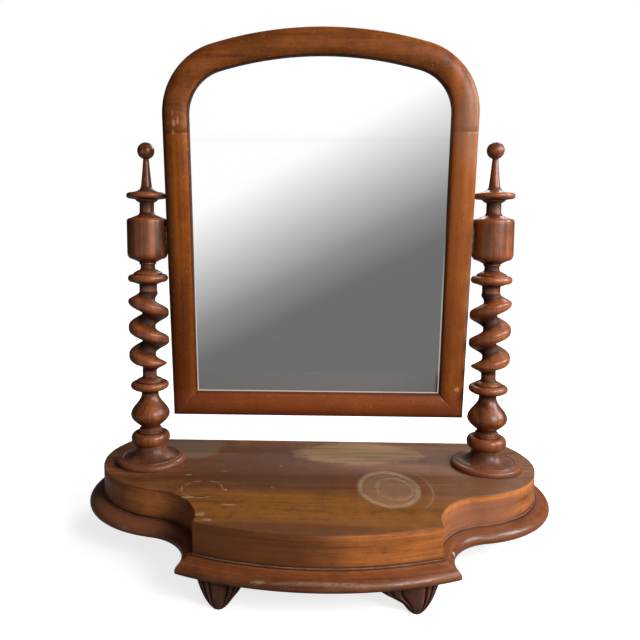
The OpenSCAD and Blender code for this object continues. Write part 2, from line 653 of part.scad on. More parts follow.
// Section of the moulding: distance in from the outer edge, then height towards the front
section = concat(
    [[0, frame_back], [0, frame_edge / 2]],
    [for (i = [1:13]) let (a = 180 * i / 14)
        [frame_w / 2 * (1 - cos(a)), frame_edge / 2 + frame_dome * sin(a)]],
    [[frame_w, frame_edge / 2], [frame_w, glass_face], [rebate_in, glass_face], [rebate_in, frame_back]]);
// Straight length of moulding along +Y, its outer edge on x = out
module moulding(out, l) translate([0, l, 0]) rotate([90, 0, 0]) linear_extrude(l)
    polygon([for (p = section) [out - p[0], p[1]]]);
// Moulding carried round an arc: one ring of points for each angle, about a centre at an outer radius
function bend(c, r, a) = [for (i = [len(section) - 1:-1:0])
    [c.x + (r - section[i][0]) * cos(a), c.y + (r - section[i][0]) * sin(a), section[i][1]]];

// Outline of the arched frame, drawn in by g
module arch(g) {
    w = frame_half - g;
    bend = shoulder_r - g;
    t = crown_c + (crown_r - g) * [sin(crown_a), cos(crown_a)];
    shoulder_c = [frame_half - shoulder_r, spring_up];
    polygon([[-w, g - frame_below], [w, g - frame_below], [w, spring_up], shoulder_c, t, [-t.x, t.y],
        [-shoulder_c.x, shoulder_c.y], [-w, spring_up]]);
    for (s = [-1, 1]) translate([s * shoulder_c.x, shoulder_c.y]) circle(bend);
    intersection() {
        translate(crown_c) circle(crown_r - g);
        translate([-t.x, t.y - tiny]) square([2 * t.x, crown_r]);
    }
}

// Places of the backboard's pins on the line drawn in by g
function rim_points(g) = concat(
    [for (s = [-1, 1], u = [0.12, 0.5, 0.88])
        [s * (frame_half - g), -frame_below + g + u * (frame_below - g + joint_up)]],
    [for (u = [-0.55, 0, 0.55]) [u * (frame_half - g), g - frame_below]],
    [for (s = [-1, 1]) let (r = shoulder_r - g)
        [s * (frame_half - shoulder_r + r * cos(42)), spring_up + r * sin(42)]],
    [for (a = [-0.75, 0, 0.75]) crown_c + (crown_r - g) * [sin(a * crown_a), cos(a * crown_a)]]);
pin_spots = rim_points(rebate_in - backboard_lap / 2);
module pin_rooms() for (q = pin_spots) translate([q.x, q.y, frame_back - backboard_t - 1])
    cylinder(d = pin_d + 2 * fit_play, h = pin_l + 1.3, $fn = 24);

// Dowels stand in the joints of the arch, keys lie across the bottom corners
dowel_z = frame_back + frame_edge * 0.42;
module dowel_places() both_sides() for (w = [0.27, 0.6])
    translate([frame_half - w * rebate_in, joint_up, dowel_z]) rotate([90, 0, 0]) children();
module dowel_rooms() dowel_places() translate([0, 0, -dowel_l / 2 - 0.3])
    cylinder(d = dowel_d + 2 * fit_play, h = dowel_l + 0.6);
module key(play) translate([0, 0, dowel_z - key_t / 2 - play]) linear_extrude(key_t + 2 * play) polygon([
    [frame_half, -frame_below], [frame_half, key_w - frame_below], [frame_half - key_w, -frame_below]]);
module key_rooms() both_sides() key(fit_play);

// The arched head in one piece: a short straight end, a shoulder, the crown, and the same again
module frame_arch() color(mahogany) hang() difference() {
    steps = 16;
    turn = 90 - crown_a;
    shoulder_c = [frame_half - shoulder_r, spring_up];
    foot = bend([0, joint_up], frame_half, 0);
    end = bend([0, joint_up], frame_half, 180);
    mid = [frame_half - frame_w * 0.36, joint_up, glass_face + 0.5];
    loft(concat(
        [draw_in(foot, mid, 0.04), foot],
        [for (i = [0:steps]) bend(shoulder_c, shoulder_r, turn * i / steps)],
        [for (i = [1:steps]) bend(crown_c, crown_r, turn + 2 * crown_a * i / steps)],
        [for (i = [1:steps])
            bend([-shoulder_c.x, shoulder_c.y], shoulder_r, 90 + crown_a + turn * i / steps)],
        [end, draw_in(end, [-mid.x, mid.y, mid.z], 0.04)]));
    dowel_rooms();
    pin_rooms();
}

// Right stile, from its mitre up to the joint with the arch
module stile() difference() {
    intersection() {
        translate([0, -frame_below, 0]) moulding(frame_half, frame_below + joint_up);
        translate([0, 0, frame_back - 1]) linear_extrude(frame_edge + frame_dome + 2) polygon([
            [frame_half + 1, -frame_below - 1], [frame_half + 1, joint_up],
            [frame_half - frame_w - 1, joint_up], [frame_half - frame_w - 1, frame_w + 1 - frame_below]]);
    }
    translate([frame_half, 0, 0]) rotate([0, -90, 0]) translate([0, 0, -1])
        cylinder(d = stud_d + 2 * (stud_play + socket_wall + fit_play), h = stud_l + 1.5);
    for (s = [-1, 1]) translate([frame_half + plate_t, s * plate_screw_up, 0]) rotate([0, -90, 0])
        screw_room(plate_screw_d, plate_screw_l);
    dowel_rooms();
    key_rooms();
    pin_rooms();
}
module frame_stile_right() color(mahogany) hang() stile();
module frame_stile_left() color(mahogany) hang() mirror([1, 0, 0]) stile();

module frame_rail() color(mahogany) hang() difference() {
    intersection() {
        translate([-frame_half, 0, 0]) rotate([90, 0, 90]) linear_extrude(2 * frame_half)
            polygon([for (p = section) [p[0] - frame_below, p[1]]]);
        translate([0, 0, frame_back - 1]) linear_extrude(frame_edge + frame_dome + 2) polygon([
            [-frame_half, -frame_below], [frame_half, -frame_below],
            [frame_half - frame_w, frame_w - frame_below], [frame_w - frame_half, frame_w - frame_below]]);
    }
    key_rooms();
    pin_rooms();
}
module frame_dowels() color(pine) hang() dowel_places()
    translate([0, 0, -dowel_l / 2]) cylinder(d = dowel_d, h = dowel_l);
module corner_keys() color(mahogany) hang() both_sides() key(0);

module mirror_glass() color("#c9ced2") hang() translate([0, 0, glass_back]) linear_extrude(glass_t)
    arch(rebate_in + glass_play);

// Blocks behind the glass, along the walls of the rebate
block_spots = concat(
    [for (s = [-1, 1], u = [0.15, 0.5, 0.85]) [s * (frame_half - rebate_in - block_w / 2),
        -frame_below + rebate_in + u * (frame_below - rebate_in + joint_up), 90]],
    [for (u = [-0.6, 0, 0.6]) [u * (frame_half - rebate_in), rebate_in + block_w / 2 - frame_below, 0]],
    [for (a = [-0.6, 0.6]) let (r = crown_r - rebate_in - block_w / 2 - 0.3)
        [r * sin(a * crown_a), crown_c.y + r * cos(a * crown_a), -a * crown_a]]);
module glass_blocks() color(pine) hang() for (q = block_spots)
    translate([q.x, q.y, frame_back]) rotate([0, 0, q[2]])
        translate([-block_l / 2, -block_w / 2, 0]) cube([block_l, block_w, glass_back - frame_back]);

module backboard() color(pine) hang() difference() {
    translate([0, 0, frame_back - backboard_t]) linear_extrude(backboard_t) arch(rebate_in - backboard_lap);
    pin_rooms();
}
module backboard_pins() color(steel) hang() for (q = pin_spots)
    translate([q.x, q.y, frame_back - backboard_t]) {
        translate([0, 0, -0.6]) cylinder(d = pin_d * 2.4, h = 0.6, $fn = 24);
        cylinder(d = pin_d, h = pin_l, $fn = 24);
    }

// Brass plate on the edge of a stile, with the socket that turns on the stud
module frame_swivel() translate([frame_half + plate_t, 0, 0]) rotate([0, -90, 0]) difference() {
    union() {
        translate([-plate_w / 2, -plate_h / 2, 0]) cube([plate_w, plate_h, plate_t]);
        cylinder(d = stud_d + 2 * (stud_play + socket_wall), h = stud_l + plate_t);
    }
    translate([0, 0, -1]) cylinder(d = stud_d + 2 * stud_play, h = stud_l + 1.3);
    for (s = [-1, 1]) translate([0, s * plate_screw_up, 0]) screw_room(plate_screw_d, plate_screw_l);
}
module frame_swivel_right() color(brass) hang() frame_swivel();
module frame_swivel_left() color(brass) hang() mirror([1, 0, 0]) frame_swivel();
module frame_swivel_screws() color(steel) hang() both_sides() for (s = [-1, 1])
    translate([frame_half + plate_t, s * plate_screw_up, 0]) rotate([0, -90, 0])
        wood_screw(plate_screw_d, plate_screw_l);

base_board();
board_moulding();
plinth_front();
plinth_side_left();
plinth_side_right();
plinth_back();
top_board();
post_blocks();
glue_blocks();
base_screws();
post_screws();
foot_front_left();
foot_front_right();
foot_back_left();
foot_back_right();
post_base_left();
post_base_right();
post_left();
post_right();
post_swivel_left();
post_swivel_right();
post_swivel_screws();
frame_arch();
frame_stile_left();
frame_stile_right();
frame_rail();
frame_dowels();
corner_keys();
mirror_glass();
glass_blocks();
backboard();
backboard_pins();
frame_swivel_left();
frame_swivel_right();
frame_swivel_screws();
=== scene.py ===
# %% [markdown]
# # A dressing table mirror in mahogany
#
# An arched glass swings between two posts with a turned twist, on a low base with a bowed front. The CAD
# model fixes every size and joint. This lesson makes the surfaces: true curves where the CAD has flat
# facets, softened edges, wood grain, polish and wear. It works in millimetres, as the maker would, and turns
# them to metres at the last moment.

# %% Load the frame
import math
import bmesh
import bpy
import numpy as np
from mathutils import Matrix, Vector


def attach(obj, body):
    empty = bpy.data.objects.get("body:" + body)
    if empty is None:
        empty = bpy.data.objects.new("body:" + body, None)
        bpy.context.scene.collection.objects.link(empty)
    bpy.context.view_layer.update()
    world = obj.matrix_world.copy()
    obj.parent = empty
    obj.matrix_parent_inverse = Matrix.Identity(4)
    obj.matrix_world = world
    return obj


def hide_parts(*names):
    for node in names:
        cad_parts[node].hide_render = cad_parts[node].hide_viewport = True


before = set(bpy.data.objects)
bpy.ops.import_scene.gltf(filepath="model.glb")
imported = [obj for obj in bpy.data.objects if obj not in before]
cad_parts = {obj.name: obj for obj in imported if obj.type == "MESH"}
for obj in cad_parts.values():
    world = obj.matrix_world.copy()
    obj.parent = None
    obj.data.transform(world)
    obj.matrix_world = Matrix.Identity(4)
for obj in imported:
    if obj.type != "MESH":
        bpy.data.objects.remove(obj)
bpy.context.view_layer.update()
MM = 0.001

# %% [markdown]
# ## Sizes
# They repeat the named values of the CAD source, because this script reads nothing but the packed model.

# %% Sizes in millimetres
POST_X = 225.0
POST_Y = 64.5
BOARD_Z = 36.0
PLINTH_Z = 51.0
TOP_Z = 87.0
TOP_T = 7.0
PIVOT_Z = 387.5
LEAN = math.radians(6.5)
FRAME_HALF = 197.1
FRAME_W = 33.0
FRAME_BELOW = 242.0
JOINT_UP = 135.0
SPRING_UP = 156.0
print("post axes at x = +-", POST_X, "and y =", POST_Y)

# %% [markdown]
# ## Shader maths as Python
# A material is a graph of small nodes. Wiring sums and products by hand hides the idea, so one class wraps a
# socket and lets +, -, *, / and ** add the Math nodes. The same class also serves the Geometry Nodes trees.

# %% A socket that can be calculated with
class Wire:
    def __init__(self, graph, socket):
        self.graph = graph
        self.socket = socket

    def maths(self, operation, *others, swap=False):
        values = [self, *others]
        if swap:
            values.reverse()
        return self.graph.node("ShaderNodeMath", {"operation": operation}, dict(enumerate(values)))

    def __add__(self, other):
        return self.maths("ADD", other)

    def __sub__(self, other):
        return self.maths("SUBTRACT", other)

    def __rsub__(self, other):
        return self.maths("SUBTRACT", other, swap=True)

    def __mul__(self, other):
        return self.maths("MULTIPLY", other)

    def __truediv__(self, other):
        return self.maths("DIVIDE", other)

    def __rtruediv__(self, other):
        return self.maths("DIVIDE", other, swap=True)

    def __pow__(self, other):
        return self.maths("POWER", other)

    __radd__ = __add__
    __rmul__ = __mul__

    def smooth(self, low, high):
        """0 below low, 1 above high, with a soft step between them."""
        values = {"Value": self, "From Min": low, "From Max": high}
        return self.graph.node("ShaderNodeMapRange", {"interpolation_type": "SMOOTHSTEP"}, values)


print("besides its operators, a wire has:", [name for name in vars(Wire) if "__" not in name])

# %% A graph that adds any node in one call
class Graph:
    def __init__(self, tree):
        self.nodes = tree.nodes
        self.links = tree.links

    def node(self, kind, settings=None, values=None, out=0):
        """Adds a node: its settings first, then its sockets' values and links. Returns one output."""
        made = self.nodes.new(kind)
        for name, value in (settings or {}).items():
            if name == "stops":
                self.fill_ramp(made.color_ramp, value)
            else:
                setattr(made, name, value)
        for key, value in (values or {}).items():
            if isinstance(value, Wire):
                self.links.new(value.socket, made.inputs[key])
            else:
                made.inputs[key].default_value = value
        return Wire(self, made.outputs[out])

    @staticmethod
    def fill_ramp(ramp, stops):
        while len(ramp.elements) < len(stops):
            ramp.elements.new(1.0)
        for element, (place, colour) in zip(ramp.elements, stops):
            element.position = place
            element.color = (*colour, 1.0)

    def mix(self, share, a, b, blend="MIX"):
        """Colours are blended by Mix, because a Math node would turn them grey."""
        settings = {"data_type": "RGBA", "blend_type": blend, "clamp_factor": True}
        colours = {6: a if isinstance(a, Wire) else (*a, 1.0), 7: b if isinstance(b, Wire) else (*b, 1.0)}
        return self.node("ShaderNodeMix", settings, {0: share, **colours}, out=2)

    def stretch(self, vector, scale, shift=(0.0, 0.0, 0.0)):
        values = {"Vector": vector, "Scale": scale, "Location": shift}
        return self.node("ShaderNodeMapping", {}, values)

    def noise(self, vector, scale, detail=3.0, roughness=0.55, warp=0.0):
        values = {"Vector": vector, "Scale": scale, "Detail": detail, "Roughness": roughness,
                  "Distortion": warp}
        return self.node("ShaderNodeTexNoise", {}, values)

    def axes(self, vector):
        split = self.node("ShaderNodeSeparateXYZ", {}, {"Vector": vector}).socket.node
        return [Wire(self, socket) for socket in split.outputs]

    def near(self, vector, place, size):
        """1 inside an ellipsoid round a place in metres, falling softly to 0 outside it."""
        shift = self.node("ShaderNodeVectorMath", {"operation": "SUBTRACT"}, {0: vector, 1: place})
        shrunk = self.node("ShaderNodeVectorMath", {"operation": "DIVIDE"}, {0: shift, 1: size})
        length = self.node("ShaderNodeVectorMath", {"operation": "LENGTH"}, {0: shrunk}, out=1)
        return 1.0 - length.smooth(0.55, 1.15)


def new_material(name):
    material = bpy.data.materials.new(name)
    material.use_nodes = True
    material.node_tree.nodes.clear()
    return material, Graph(material.node_tree)


def close_material(graph, shader):
    output = graph.nodes.new("ShaderNodeOutputMaterial")
    graph.links.new(shader.socket, output.inputs["Surface"])


print("a graph has:", [name for name in vars(Graph) if "__" not in name])

# %% [markdown]
# ## Polished mahogany
# Mahogany has long fine fibres, short dark pores that run along them, and broad ribbons that turn from light
# to dark. Every piece carries its own grain coordinates as a vertex attribute: x along the fibres, y and z
# across them. So the grain follows the stick a piece was cut from, and never slides when the mirror tilts. A
# second attribute, worn, is above 0 on proud edges, where hands have rubbed the stain off, and below
# 0 in hollows, grooves and creases, which are painted dark: partly wax and dust, partly painted shade where
# the light does not reach. A painter is a function that lays marks over the finished wood.

# %% One recipe for all the wood
GRIME_AND_SHADE_COLOUR = (0.018, 0.007, 0.004)
GRAIN_DEPTH = 0.22
# How fine each pattern is: first along the fibres, where it is drawn out long, then across them.
RIBBONS = (2.2, 42.0, 30.0)
STREAKS = (6.0, 230.0, 200.0)
FIBRES = (36.0, 1200.0, 1000.0)
PORES = (90.0, 2000.0, 1800.0)


def wood(name, shades, dull, figure, seed, coords="grain", paint=None, coat=0.12, shine=0.3, coat_dull=0.18):
    """shades: dark, middle and light. dull: roughness of the polish. figure: how lively the grain is."""
    dark, middle, light = shades
    material, g = new_material(name)
    place = g.node("ShaderNodeTexCoord", out=3)
    smudge = g.noise(place, 60.0, 4.0, 0.65)
    grain, rubbed, dirt_and_shade = place, 0.0, 0.0
    if coords == "grain":
        grain = g.node("ShaderNodeAttribute", {"attribute_name": "grain"}, out=1)
        worn = g.node("ShaderNodeAttribute", {"attribute_name": "worn"}, out=2)
        rubbed = worn.smooth(0.1, 0.9) * (0.35 + 0.9 * smudge)
        # Below 0 the attribute paints hollows dark: partly dust and wax, partly painted shade where light
        # does not reach.
        dirt_and_shade = (0.0 - worn).smooth(0.05, 0.75)
    shift = (seed, seed * 0.7, seed * 1.3)
    ribbon = g.noise(g.stretch(grain, RIBBONS, shift), 1.0, 2.0, 0.5, 0.6)
    streak = g.noise(g.stretch(grain, STREAKS, shift), 1.0, 4.0, 0.62)
    fibre = g.noise(g.stretch(grain, FIBRES, shift), 1.0, 3.0, 0.65)
    pore = g.noise(g.stretch(grain, PORES, shift), 1.0, 1.0).smooth(0.58, 0.7)
    cloud = g.noise(place, 11.0, 4.0, 0.62)
    grime = g.noise(place, 24.0, 5.0, 0.7).smooth(0.52, 0.75)
    tone = 0.5 + figure * ((ribbon - 0.5) * 1.5 + (streak - 0.5) * 1.5 + (fibre - 0.5) * 0.6)
    tone = tone + (cloud - 0.5) * 0.9 + (smudge - 0.5) * 0.6
    stops = [(0.1, dark), (0.5, middle), (0.9, light)]
    base = g.node("ShaderNodeValToRGB", {"stops": stops}, {"Fac": tone})
    base = g.mix(pore * 0.6, base, tuple(0.35 * c for c in dark))
    base = g.mix(rubbed * 0.5, base, tuple(min(1.0, 1.3 * c + 0.01) for c in light))
    # Painted shade and dust in the hollows, and random grime, darken the colour here.
    base = g.mix(dirt_and_shade * 0.8 + grime * 0.25, base, GRIME_AND_SHADE_COLOUR)
    rough = dull + (smudge - 0.5) * 0.2 + pore * 0.12 + dirt_and_shade * 0.3 + grime * 0.1
    if paint is not None:
        base, rough = paint(g, place, base, rough)
    height = fibre * 0.35 + streak * 0.5 - pore * 0.8 + g.noise(place, 130.0, 3.0) * 0.9
    bump = g.node("ShaderNodeBump", {}, {"Strength": 0.5, "Distance": MM * GRAIN_DEPTH, "Height": height})
    values = {"Base Color": base, "Roughness": rough, "Normal": bump, "Specular IOR Level": shine,
              "Coat Weight": (1.0 - dirt_and_shade) * coat, "Coat Roughness": coat_dull}
    close_material(g, g.node("ShaderNodeBsdfPrincipled", {}, values))
    return material


print("open grain is felt up to", GRAIN_DEPTH, "mm deep")

# %% A painter of marks at places
def in_metres(sizes):
    return tuple(MM * size for size in sizes)


def spots(marks, ragged_edge=True):
    """Makes a painter. Each mark has a name, then its place, size, colour and strength. Sizes in mm."""
    def paint(g, place, base, rough):
        ragged = g.noise(place, 900.0, 3.0, 0.7).smooth(0.38, 0.56) if ragged_edge else 1.0
        for centre, size, colour, strength in marks.values():
            near = g.near(place, in_metres(centre), in_metres(size))
            base = g.mix(near * ragged * strength, base, colour)
        return base, rough
    print("marks:", "; ".join(marks))
    return paint

# %% [markdown]
# ## The top's long history
# The top board has led the hardest life: a pale ring where a wet pot stood, a bleached patch at the back, a
# darker, duller middle, golden worn ground along the front, rings and scratches at the left, and drops of
# paint. Each is a mask in object coordinates, laid over the wood in the order in which it happened. The
# board's edge keeps the warmer colour of the walls below it.

# %% Masks on the top
def oval(x, y, centre, radii):
    """How far a point is from a centre, 1 on the oval's line. Sizes in mm."""
    turn_x = (x - MM * centre[0]) / (MM * radii[0])
    turn_y = (y - MM * centre[1]) / (MM * radii[1])
    return (turn_x * turn_x + turn_y * turn_y) ** 0.5


def between(far, low, high, blur):
    return far.smooth(low - blur, low + blur) * (1.0 - far.smooth(high - blur, high + blur))


class TopMasks:
    """The noises and masks that the marks on the top share."""

    def __init__(self, g, place):
        self.x, self.y, z = g.axes(place)
        self.edge = 1.0 - z.smooth(MM * (TOP_Z - 1.8), MM * (TOP_Z - 0.6))
        self.face = 1.0 - self.edge
        self.cloud = g.noise(place, 34.0, 5.0, 0.65, 0.8)
        self.fine = g.noise(place, 260.0, 4.0, 0.7)
        self.streaks = g.noise(g.stretch(place, (9.0, 120.0, 1.0)), 1.0, 4.0, 0.6, 0.4)
        broken = g.noise(place, 130.0, 4.0, 0.7).smooth(0.38, 0.58)
        self.patina = self.cloud.smooth(0.3, 0.6) * (0.5 + 0.5 * broken)

    def far(self, centre, radii, ragged):
        return oval(self.x, self.y, centre, radii) + (self.fine - 0.5) * ragged

    def blot(self, centre, radii, blur=0.2):
        """A cloudy patch with a soft, uneven edge."""
        far = self.far(centre, radii, 0.25) + (self.cloud - 0.5) * 0.9
        return (1.0 - far.smooth(1.0 - blur, 1.0 + blur)) * self.face


print("the top's marks share:", [name for name in vars(TopMasks) if "__" not in name])

# %% Broad grounds of the top
DULL_MIDDLE = (0.125, 0.052, 0.029)
FADED_RIGHT = (0.22, 0.098, 0.05)
GOLDEN_FRONT = (0.32, 0.115, 0.012)
RED_BROWN = (0.13, 0.043, 0.014)
DUSTY_GREY = (0.24, 0.18, 0.12)
BLEACHED = (0.4, 0.235, 0.095)
ROSY = (0.33, 0.13, 0.07)


def top_grounds(g, top, place, base):
    base = g.mix(top.blot((-45, 45), (125, 70), 0.4) * 0.75, base, DULL_MIDDLE)
    base = g.mix(top.blot((185, 20), (75, 110), 0.4) * 0.5, base, FADED_RIGHT)
    mottled = g.noise(place, 90.0, 4.0, 0.7).smooth(0.3, 0.6)
    patchy = top.streaks.smooth(0.3, 0.6) * 0.5 + mottled * 0.5
    base = g.mix(top.blot((-20, -80), (165, 45), 0.4) * patchy * 0.8, base, GOLDEN_FRONT)
    base = g.mix(top.blot((-40, -126), (110, 16), 0.4) * 0.7, base, RED_BROWN)
    base = g.mix(top.blot((-180, 120), (45, 45)) * 0.45, base, DUSTY_GREY)
    streaky = 0.4 + 0.6 * top.streaks.smooth(0.38, 0.56)
    base = g.mix(top.blot((58, 104), (84, 44), 0.12) * streaky * 0.75, base, BLEACHED)
    return g.mix(top.blot((88, 58), (60, 16), 0.4) * 0.35, base, ROSY)


print("grounds run from", DULL_MIDDLE, "to", BLEACHED)

# %% Rings where pots and cups stood
POT, INSIDE_POT, CUP = (87, -17), (94, -18), (-139, -28)
POT_GROUND = (0.42, 0.28, 0.19)
POT_LINE = (0.45, 0.34, 0.22)
INNER_LINE = (0.47, 0.36, 0.23)
OUTER_LINE = (0.45, 0.33, 0.22)
CUP_LINE = (0.5, 0.38, 0.25)


def top_rings(g, top, base):
    """Returns the colour with the rings on it, and the mask of the pot's own ring."""
    far = top.far(POT, (38, 55), 0.16) + (top.cloud - 0.5) * 0.1
    pale = between(far, 0.84, 1.0, 0.05) * (0.35 + 0.65 * top.patina)
    base = g.mix(pale * top.face * 0.55, base, POT_LINE)
    base = g.mix((1.0 - far.smooth(0.7, 0.95)) * top.face * 0.28, base, POT_GROUND)
    inner = between(top.far(INSIDE_POT, (22, 33), 0.16), 0.88, 1.06, 0.06)
    base = g.mix(inner * top.patina * top.face * 0.4, base, INNER_LINE)
    outer = between(top.far(POT, (52, 72), 0.05), 0.98, 1.02, 0.02)
    on_right = top.x.smooth(MM * 115, MM * 135)
    base = g.mix(outer * on_right * top.face * 0.3, base, OUTER_LINE)
    cup = between(top.far(CUP, (25, 25), 0.22), 0.96, 1.04, 0.03)
    broken = top.cloud.smooth(0.42, 0.52) * top.fine.smooth(0.35, 0.55)
    return g.mix(cup * broken * top.face * 0.65, base, CUP_LINE), pale


print("a pot stood at", POT, "and a cup at", CUP)

# %% Drops and spills
DROP = (0.54, 0.34, 0.18)
SPILL = (0.5, 0.36, 0.2)
drops = {"front, round": ((-129, -96), (6, 6), 0.5), "front, smeared": ((-119, -109), (7, 4), 0.5),
         "long scratch": ((-100, -71), (12, 1.6), 0.7), "middle": ((-55, -19), (1.6, 1.8), 1.0),
         "back": ((-48, 51), (1.6, 1.8), 0.9), "in the cup's ring": ((-110, -30), (2.2, 2.2), 0.9),
         "behind the ring": ((-120, 30), (6, 2.4), 0.4), "by the left disc": ((-165, 16), (5, 2.4), 0.7),
         "before the ring": ((-152, -52), (9, 3), 0.6)}


def top_drops(g, top, place, base):
    for centre, radii, strength in drops.values():
        inside = 1.0 - top.far(centre, radii, 1.6).smooth(0.6, 1.0)
        base = g.mix(inside * top.face * strength * 0.8, base, DROP)
    specks = g.noise(place, 210.0, 3.0, 0.7).smooth(0.69, 0.74)
    left_side = g.near(place, in_metres((-125, -50, TOP_Z)), in_metres((80, 70, 50)))
    return g.mix(specks * (0.08 + left_side * 0.5) * top.face, base, SPILL)


print("drops and scratches:", "; ".join(drops))

# %% The painter for the top board
EDGE_GAIN = (2.3, 2.0, 1.9)
# Painted shade: the left half of the front, which the lamps reach less, is painted darker.
FRONT_PAINTED_SHADE = ((-75, -125, 65), (120, 40, 60), (0.1, 0.03, 0.01), 0.72)


def top_history(g, place, base, rough):
    top = TopMasks(g, place)
    base = top_grounds(g, top, place, base)
    base, pale = top_rings(g, top, base)
    base = top_drops(g, top, place, base)
    warm = g.mix(1.0, base, EDGE_GAIN, "MULTIPLY")
    base = g.mix(top.edge, base, warm)
    # Painted shade: the same darkening lies on the left of the top's edge.
    centre, size, colour, strength = FRONT_PAINTED_SHADE
    shaded = g.near(place, in_metres(centre), in_metres(size))
    base = g.mix(shaded * top.edge * strength, base, colour)
    return base, rough + pale * 0.2 + (1.0 - top.patina) * 0.1


print("the front's shade lies at", FRONT_PAINTED_SHADE[0], "and reaches", FRONT_PAINTED_SHADE[1])

# %% [markdown]
# ## Chips, painted light and shade, and eight finishes
# Eight finishes share the one recipe. The frame is redder and duller than the walls, the turnings are dark
# and glossy, and the feet are dull. Over them lie small chips, where pale wood shows, and broad shades. Most
# of these are painted light and shade: painted shade on the left stile and under the rail, painted light and
# sheen on the right stile, painted shade on the left of the base's front, and painted sheen on its right end.
# The board's left end is painted paler. Each mark is named by where it lies on the object.

# %% Marks on the frame
frame_chips = spots({
    "right foot": ((186, 72, 188), (3.5, 20, 3.5), (0.62, 0.42, 0.2), 0.95),
    "left joint, on the line": ((-181, 34, 531), (2.4, 20, 5), (0.62, 0.38, 0.16), 0.95),
    "left joint, inwards": ((-176, 34, 534), (1.5, 20, 4.5), (0.62, 0.38, 0.16), 0.9),
    "left joint, below": ((-182, 34, 520), (1.5, 20, 3.5), (0.6, 0.36, 0.15), 0.9),
    "left joint, above": ((-182, 34, 543), (1.5, 20, 4), (0.5, 0.28, 0.12), 0.6)})
frame_painted_light_and_tones = spots({
    # Painted shade: the left stile, its outer side and the rail's lower edge are darkened.
    "left stile, foot": ((-185, 75, 230), (45, 70, 140), (0.075, 0.016, 0.004), 0.55),
    "left stile, outer side": ((-200, 50, 420), (13, 90, 260), (0.08, 0.018, 0.004), 0.5),
    "rail, lower edge": ((0, 92, 146), (420, 40, 11), (0.08, 0.018, 0.005), 0.55),
    # Painted light and sheen: the right stile and the right joint are made lighter and greyer.
    "right stile, inner side": ((166, 45, 450), (10, 80, 190), (0.6, 0.17, 0.03), 0.5),
    "right joint": ((190, 40, 530), (26, 50, 60), (0.42, 0.24, 0.16), 0.4),
    "right stile, all of it": ((190, 60, 330), (45, 90, 300), (0.3, 0.09, 0.035), 0.4),
    "rail, face": ((0, 90, 162), (480, 60, 26), (0.27, 0.065, 0.025), 0.6),
    # Painted light: the right stile's outer side is made paler.
    "right stile, outer side": ((198, 70, 320), (8, 60, 130), (0.38, 0.2, 0.13), 0.5)}, ragged_edge=False)
FLECK = (0.55, 0.27, 0.09)


def frame_marks(g, place, base, rough):
    base, rough = frame_painted_light_and_tones(g, place, base, rough)
    flecks = g.noise(place, 520.0, 2.0).smooth(0.62, 0.7) * g.noise(place, 40.0, 3.0).smooth(0.42, 0.6)
    base = g.mix(flecks * 0.5, base, FLECK)
    return frame_chips(g, place, base, rough)

# %% Marks on the base and the discs
CHIP = (0.62, 0.5, 0.38)
board_chips = spots({"right of the bow": ((151, -92, 45), (4, 4, 3), CHIP, 0.9),
                     "along the bow": ((6, -157, 44), (60, 3, 3), CHIP, 0.25),
                     "left half of the bow": ((-60, -155, 44), (10, 2, 2), CHIP, 0.35),
                     "left end": ((-240, -46, 42), (16, 10, 4), CHIP, 0.5)})
board_shades = spots({"left end": ((-240, -20, 36), (130, 120, 40), (0.36, 0.13, 0.06), 0.65)},
                     ragged_edge=False)
panel_painted_light_and_shade = spots({"left half of the front": FRONT_PAINTED_SHADE,
                      # Painted sheen: the right end, where the lamps fall, is painted paler and greyer.
                      "right end": ((220, -60, 65), (90, 60, 60), (0.3, 0.125, 0.07), 0.7)},
                     ragged_edge=False)
BEAD_SHINE = (0.23, 0.075, 0.032)
BEAD_ARRIS = (0.32, 0.17, 0.1)
BEAD_FROM, BEAD_FULL = 36.5, 38.5
ARRIS_FROM, ARRIS_TO = 35.7, 37.3


def board_marks(g, place, base, rough):
    base, rough = board_shades(g, place, base, rough)
    return board_chips(g, place, base, rough)


def disc_marks(g, place, base, rough):
    """A disc's outer bead is painted lighter than its cove, a painted highlight, with a pale arris between
    them.
    """
    x, y, z = g.axes(place)
    across = x.maths("ABSOLUTE") - MM * POST_X
    along = y - MM * POST_Y
    far = (across * across + along * along) ** 0.5
    on_bead = far.smooth(MM * BEAD_FROM, MM * BEAD_FULL)
    base = g.mix(on_bead * 0.55, base, BEAD_SHINE)
    arris = between(far, MM * ARRIS_FROM, MM * ARRIS_TO, MM * 0.5)
    base = g.mix(arris * 0.4, base, BEAD_ARRIS)
    return base, rough + (1.0 - on_bead) * 0.14

# %% The eight finishes
frame_wood = wood("frame_mahogany", [(0.14, 0.03, 0.002), (0.3, 0.071, 0.003), (0.46, 0.125, 0.007)],
                  dull=0.34, figure=0.6, seed=1.0, paint=frame_marks, coat=0.05, shine=0.14)
arch_wood = wood("arch_mahogany", [(0.1, 0.026, 0.005), (0.23, 0.061, 0.011), (0.36, 0.106, 0.022)],
                 dull=0.36, figure=0.7, seed=4.0, paint=frame_marks, coat=0.05, shine=0.14)
turned_wood = wood("turned_mahogany", [(0.05, 0.012, 0.003), (0.19, 0.048, 0.011), (0.37, 0.106, 0.03)],
                   dull=0.35, figure=0.9, seed=7.0, coat=0.22, shine=0.38, coat_dull=0.26)
